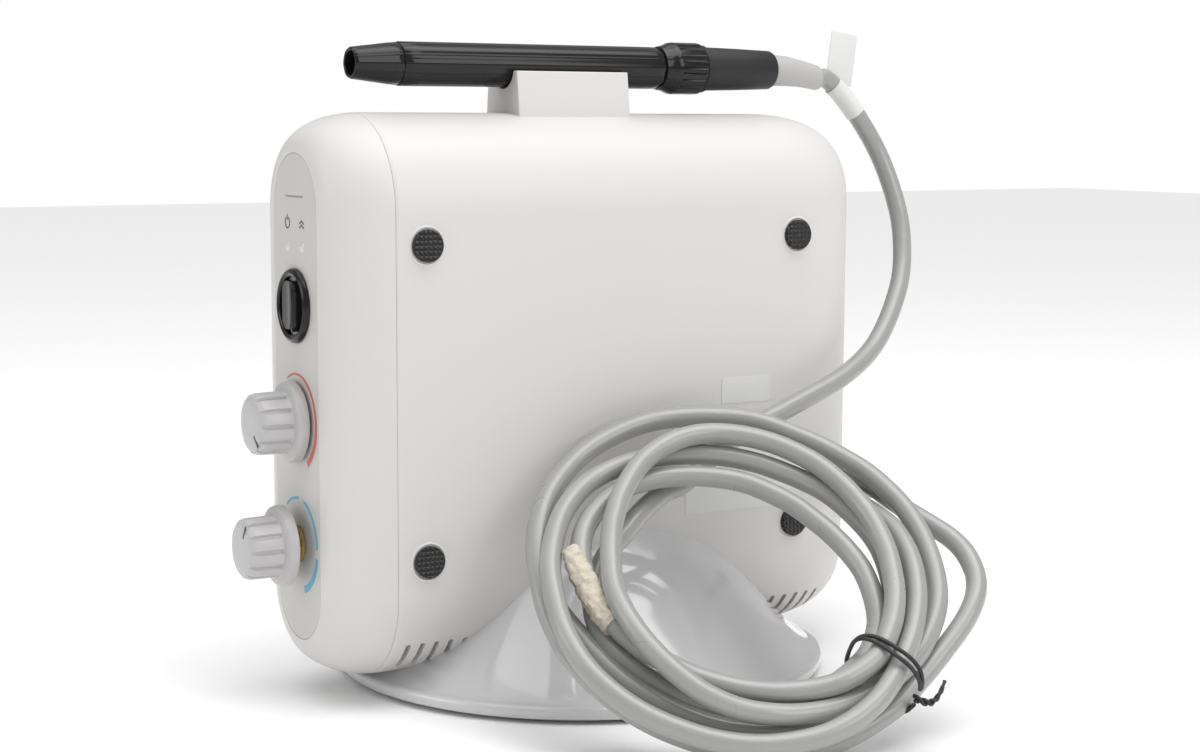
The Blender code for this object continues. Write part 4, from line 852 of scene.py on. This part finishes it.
def make_side_feet():
    """Four rubber feet in two rows on the broad side, each in a low moulded lip."""
    pad_profile = [(5.5, -0.6), (5.55, 0.2), (5.55, 1.3), (5.35, 1.65), (4.9, 1.8), (0.4, 1.82)]
    lip_profile = [(6.9, -0.4), (6.9, 0.05), (6.6, 0.3), (6.2, 0.35), (5.9, 0.1), (5.85, -0.4)]
    for i in range(4):
        spot = at(HALF_WIDTH, 31.9 + 152 * (i % 2), 52.1 + 107.4 * (i // 2))
        take(turned(pad_profile, spot, "X", 56), f"side_pad_{i + 1}", WAFFLE, "base", f"side_foot_{i + 1}")
        take(turned(lip_profile, spot, "X", 56), f"side_pad_lip_{i + 1}", WHITE, "base")


def make_label(name, node, front, back, low, high):
    """A blank label with rounded corners on the broad side, between two depths and two heights."""
    middle = at(HALF_WIDTH + 0.12, 0.5 * (front + back), 0.5 * (low + high))
    label = block((0.22, back - front, high - low), middle)
    edit(label)
    pick_edges(lambda a, b: abs(a.y - b.y) < 1e-6 and abs(a.z - b.z) < 1e-6)
    bpy.ops.mesh.bevel(offset=0.9 * MM, segments=4)
    close_up(label, 30)
    take(label, name, PAPER, "base", node)


def stand_outline():
    """The stand's half outline from its top: a dome's arc, a sweep out to the rim, and the rim."""
    points = [(0.6, 64.2)]
    steps = 16
    for i in range(1, steps + 1):
        r = 60.0 * i / steps
        points.append((r, -12 + math.sqrt(76.2 ** 2 - r * r)))
    r, z = points[-1]
    fall = r / (z + 12)
    knee = r + (z - 6.2 - 1.5) / fall
    for i in range(1, 13):
        t = i / 12
        points.append(((1 - t) ** 2 * r + 2 * t * (1 - t) * knee + t * t * 88.4,
                       (1 - t) ** 2 * z + 2 * t * (1 - t) * 7.7 + t * t * 6.2))
    points += [(89.5, 6.0), (90.2, 5.4), (90.55, 4.4), (90.55, 3.2), (90.2, 2.2), (89.5, 1.65), (88.4, 1.5)]
    return points


def make_stand():
    """The domed stand and the four pads under its rim."""
    stand = turned(stand_outline(), at(0, STAND_DEPTH, 0), "Z", 160)
    take(stand, "round_stand", PEARL, "base", "stand")
    for i in range(4):
        a = math.radians(-18 + 90 * i)
        spot = at(82 * math.cos(a), STAND_DEPTH + 82 * math.sin(a), 0)
        pad = turned([(4.6, 0.02), (5.0, 0.3), (5.0, 1.6)], spot, "Z", 32)
        take(pad, f"stand_foot_{i + 1}", RUBBER, "base", f"stand_pad_{i + 1}")


make_side_feet()
make_label("blank_check_label", "check_label", 151.0, 172.6, 98.5, 108.0)
make_label("blank_rating_label", "rating_label", 135.6, 187.0, 58.8, 86.3)
make_stand()


# ---------------------------------------------------------------- holder and handpiece

def make_holder():
    """A tapered block hollowed along its top for the handpiece."""
    holder = block((27.6, 45.8, 26.8), at(0, 103.3, 205.1))
    edit(holder)
    pick(lambda co: co.z > 0.21)
    bpy.ops.transform.resize(value=(10.7 / 13.8, 1, 1), center_override=at(0, 103.3, 218.5))
    fresh()
    groove = turned([(8.15, 70), (8.15, 136)], at(0, 0, HANDPIECE_Z), "Y", 64)
    cut_out(holder, groove)
    soften(holder, 0.7, 3, 30)
    close_up(holder)
    take(holder, "handpiece_cradle", WHITE, "base", "handpiece_holder")


def make_handpiece():
    """The faceted grip and the tapered tip with its bore."""
    grip = turned([(7.45, 38.75), (7.7, 39.1), (7.72, 46), (7.72, 136.5), (7.7, 141.5), (7.6, 144.5),
                   (7.3, 145.1), (5.2, 145.1)], AXIS, "Y", 96, facet=0.022)
    take(grip, "handpiece_grip", BLACK, "handpiece", "handpiece_body")
    tip = turned([(4.3, 30.0), (4.3, 21.2), (4.7, 20.9), (5.2, 20.95), (5.5, 21.4), (5.6, 22.3), (6.4, 29.0),
                  (7.1, 34.5), (7.45, 38.3), (7.3, 38.6), (4.6, 38.6)], AXIS, "Y", 96, facet=0.016)
    take(tip, "handpiece_tip", BLACK, "handpiece", "handpiece_nose")


def make_coupling():
    """The coupling ring, with a flute pressed in at every fifteen degrees."""
    ring = turned([(7.6, 145.3), (8.0, 145.5), (8.4, 147.5), (9.0, 149.1), (9.5, 150.3), (9.6, 151.2),
                   (9.6, 151.6), (9.6, 161.8), (9.5, 162.4), (9.0, 162.8), (5.8, 162.8)], AXIS, "Y", 144)
    edit(ring)

    def in_flute(co):
        spot = co - AXIS
        turn = math.degrees(math.atan2(spot.z, spot.x)) % 15
        return turn < 4.9 and spot.xz.length > 9.3 * MM and 151.4 * MM < spot.y < 162.1 * MM

    pick(in_flute)
    bpy.ops.transform.resize(value=(0.955, 1, 0.955), center_override=AXIS)
    close_up(ring, 30)
    take(ring, "grooved_coupling", BLACK, "coupling_ring", "coupling_ring")


def make_connector():
    """The connector's barrel and the drooping boot that the cord leaves by."""
    barrel = turned([(7.6, 163.0), (8.5, 163.1), (8.8, 163.4), (8.8, 164.9), (8.5, 165.2), (8.1, 165.3),
                     (8.12, 166.2), (7.8, 180.0), (7.3, 195.2), (6.9, 196.0), (6.2, 196.2)], AXIS, "Y", 80)
    take(barrel, "connector_barrel", SLEEVE, "handpiece_connector", "connector_sleeve")
    boot = turned([(5.5, 196.4), (5.9, 196.8), (5.95, 198.0), (5.7, 204), (5.2, 210), (4.95, 215),
                   (4.8, 218.4), (4.4, 219.2), (3.7, 219.3)], AXIS, "Y", 64, drop=2.8)
    take(boot, "tapered_cord_boot", RELIEF, "handpiece_connector", "strain_relief")


AXIS = at(0, 0, HANDPIECE_Z)
make_holder()
make_handpiece()
make_coupling()
make_connector()


# ---------------------------------------------------------------- rear fittings

REAR = BODY_LENGTH + 0.3


def make_rear_fittings():
    """The cord's boot, the barbed water inlet, the foot control's socket and the mains socket's frame."""
    boot = turned([(5.5, -12), (5.5, 0), (7.6, 0), (8.0, 0.5), (8.0, 1.9), (7.4, 2.5), (6.0, 2.6), (5.7, 3.4),
                   (5.4, 10), (5.1, 17), (4.9, 22.2), (4.3, 22.6), (3.7, 22.6)], at(-9, REAR, 50), "Y", 56)
    take(boot, "rear_cord_boot", RELIEF, "base", "cord_gland")
    inlet = turned([(1.5, -11.8), (4.5, -11.8), (4.5, 0), (7.2, 0), (7.5, 0.4), (7.5, 2.2), (7.1, 2.6),
                    (2.6, 2.7), (2.5, 7.4), (3.2, 8.0), (2.6, 10.8), (3.2, 11.5), (2.6, 13.9), (1.5, 14.0)],
                   at(0, REAR, 92), "Y", 56)
    take(inlet, "barbed_water_inlet", STEEL, "base", "water_inlet")
    socket = turned([(1.9, -8), (1.9, 1.8), (2.4, 2.6), (7.4, 2.6), (8.2, 2.2), (8.5, 1.6), (8.5, 0),
                     (6.0, 0), (6.0, -11.8)], at(0, REAR, 120), "Y", 56)
    take(socket, "foot_control_socket", BLACK, "base", "footswitch_socket")
    mains = block((31, 2.6, 24), at(0, REAR + 1.3, 154), 0.7, 3)
    cut_out(mains, block((22, 9, 15), at(0, REAR + 2.0, 154), 2.0, 3))
    close_up(mains, 35, flip=False)
    take(mains, "mains_socket_frame", BLACK, "base")


make_rear_fittings()


# ---------------------------------------------------------------- inner parts keep their shape

INNER = {
    "chassis": ALLOY, "main_board": BOARD, "board_rail_lower": STEEL, "board_rail_upper": STEEL,
    "heat_sink": ALLOY, "capacitor": BLACK, "transformer_core": STEEL, "transformer_winding": COPPER,
    "solenoid_valve": BLACK,
    "water_tube_supply": TUBE, "water_tube_feed": TUBE, "power_shaft": ALLOY, "power_control": STEEL,
    "power_nut": STEEL, "water_valve": BRASS, "water_nut": BRASS, "valve_washer": RUBBER, "rocker_pin": STEEL,
    "holder_screw_1": STEEL, "holder_screw_2": STEEL, "handpiece_liner": KNOB, "handpiece_winding": COPPER,
    "connector_core": BRASS, "mains_inlet": BLACK,
}
for node, look in INNER.items():
    for i in range(len(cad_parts[node].data.materials)):
        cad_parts[node].data.materials[i] = look


# ---------------------------------------------------------------- floor and light

def make_floor():
    """A plain pale floor."""
    fresh()
    bpy.ops.mesh.primitive_plane_add(size=8, location=(0, 0, 0))
    floor = bpy.context.object
    settle(floor)
    floor.name = "floor"
    mat = bpy.data.materials.new("pale_floor")
    mat.use_nodes = True
    shader = mat.node_tree.nodes["Principled BSDF"]
    shader.inputs["Base Color"].default_value = (0.95, 0.95, 0.95, 1)
    shader.inputs["Roughness"].default_value = 0.7
    floor.data.materials.append(mat)


def soft_light(name, place, aim, size, power):
    """A square area light that faces a point."""
    data = bpy.data.lights.new(name, "AREA")
    data.energy = power
    data.size = size
    lamp = bpy.data.objects.new(name, data)
    bpy.context.scene.collection.objects.link(lamp)
    lamp.location = place
    lamp.rotation_euler = (Vector(aim) - Vector(place)).to_track_quat("-Z", "Y").to_euler()


def make_world():
    """An even white surround, brighter where it is seen directly than as a light."""
    world = bpy.data.worlds.new("studio")
    bpy.context.scene.world = world
    world.use_nodes = True
    nodes, links = world.node_tree.nodes, world.node_tree.links
    sky = nodes["Background"]
    sky.inputs["Color"].default_value = (1, 1, 1, 1)
    path = nodes.new("ShaderNodeLightPath")
    strength = nodes.new("ShaderNodeMix")
    strength.inputs["A"].default_value = 0.42
    strength.inputs["B"].default_value = 1.0
    links.new(path.outputs["Is Camera Ray"], strength.inputs["Factor"])
    links.new(strength.outputs["Result"], sky.inputs["Strength"])
    bpy.context.scene.view_settings.view_transform = "Standard"


def make_sky_light():
    """Very soft light from straight above, which keeps the floor even out to the distance."""
    data = bpy.data.lights.new("above", "SUN")
    data.energy = 1.55
    data.angle = math.radians(70)
    lamp = bpy.data.objects.new("above", data)
    bpy.context.scene.collection.objects.link(lamp)


make_floor()
make_world()
make_sky_light()
soft_light("overhead", (0.35, 0.25, 1.3), (0, 0, 0.15), 0.9, 6)
soft_light("right_side", (1.5, 0.5, 0.9), (0, 0, 0.1), 0.9, 7.5)
soft_light("left_front", (-0.3, -1.5, 0.7), (0, 0, 0.1), 0.8, 4)
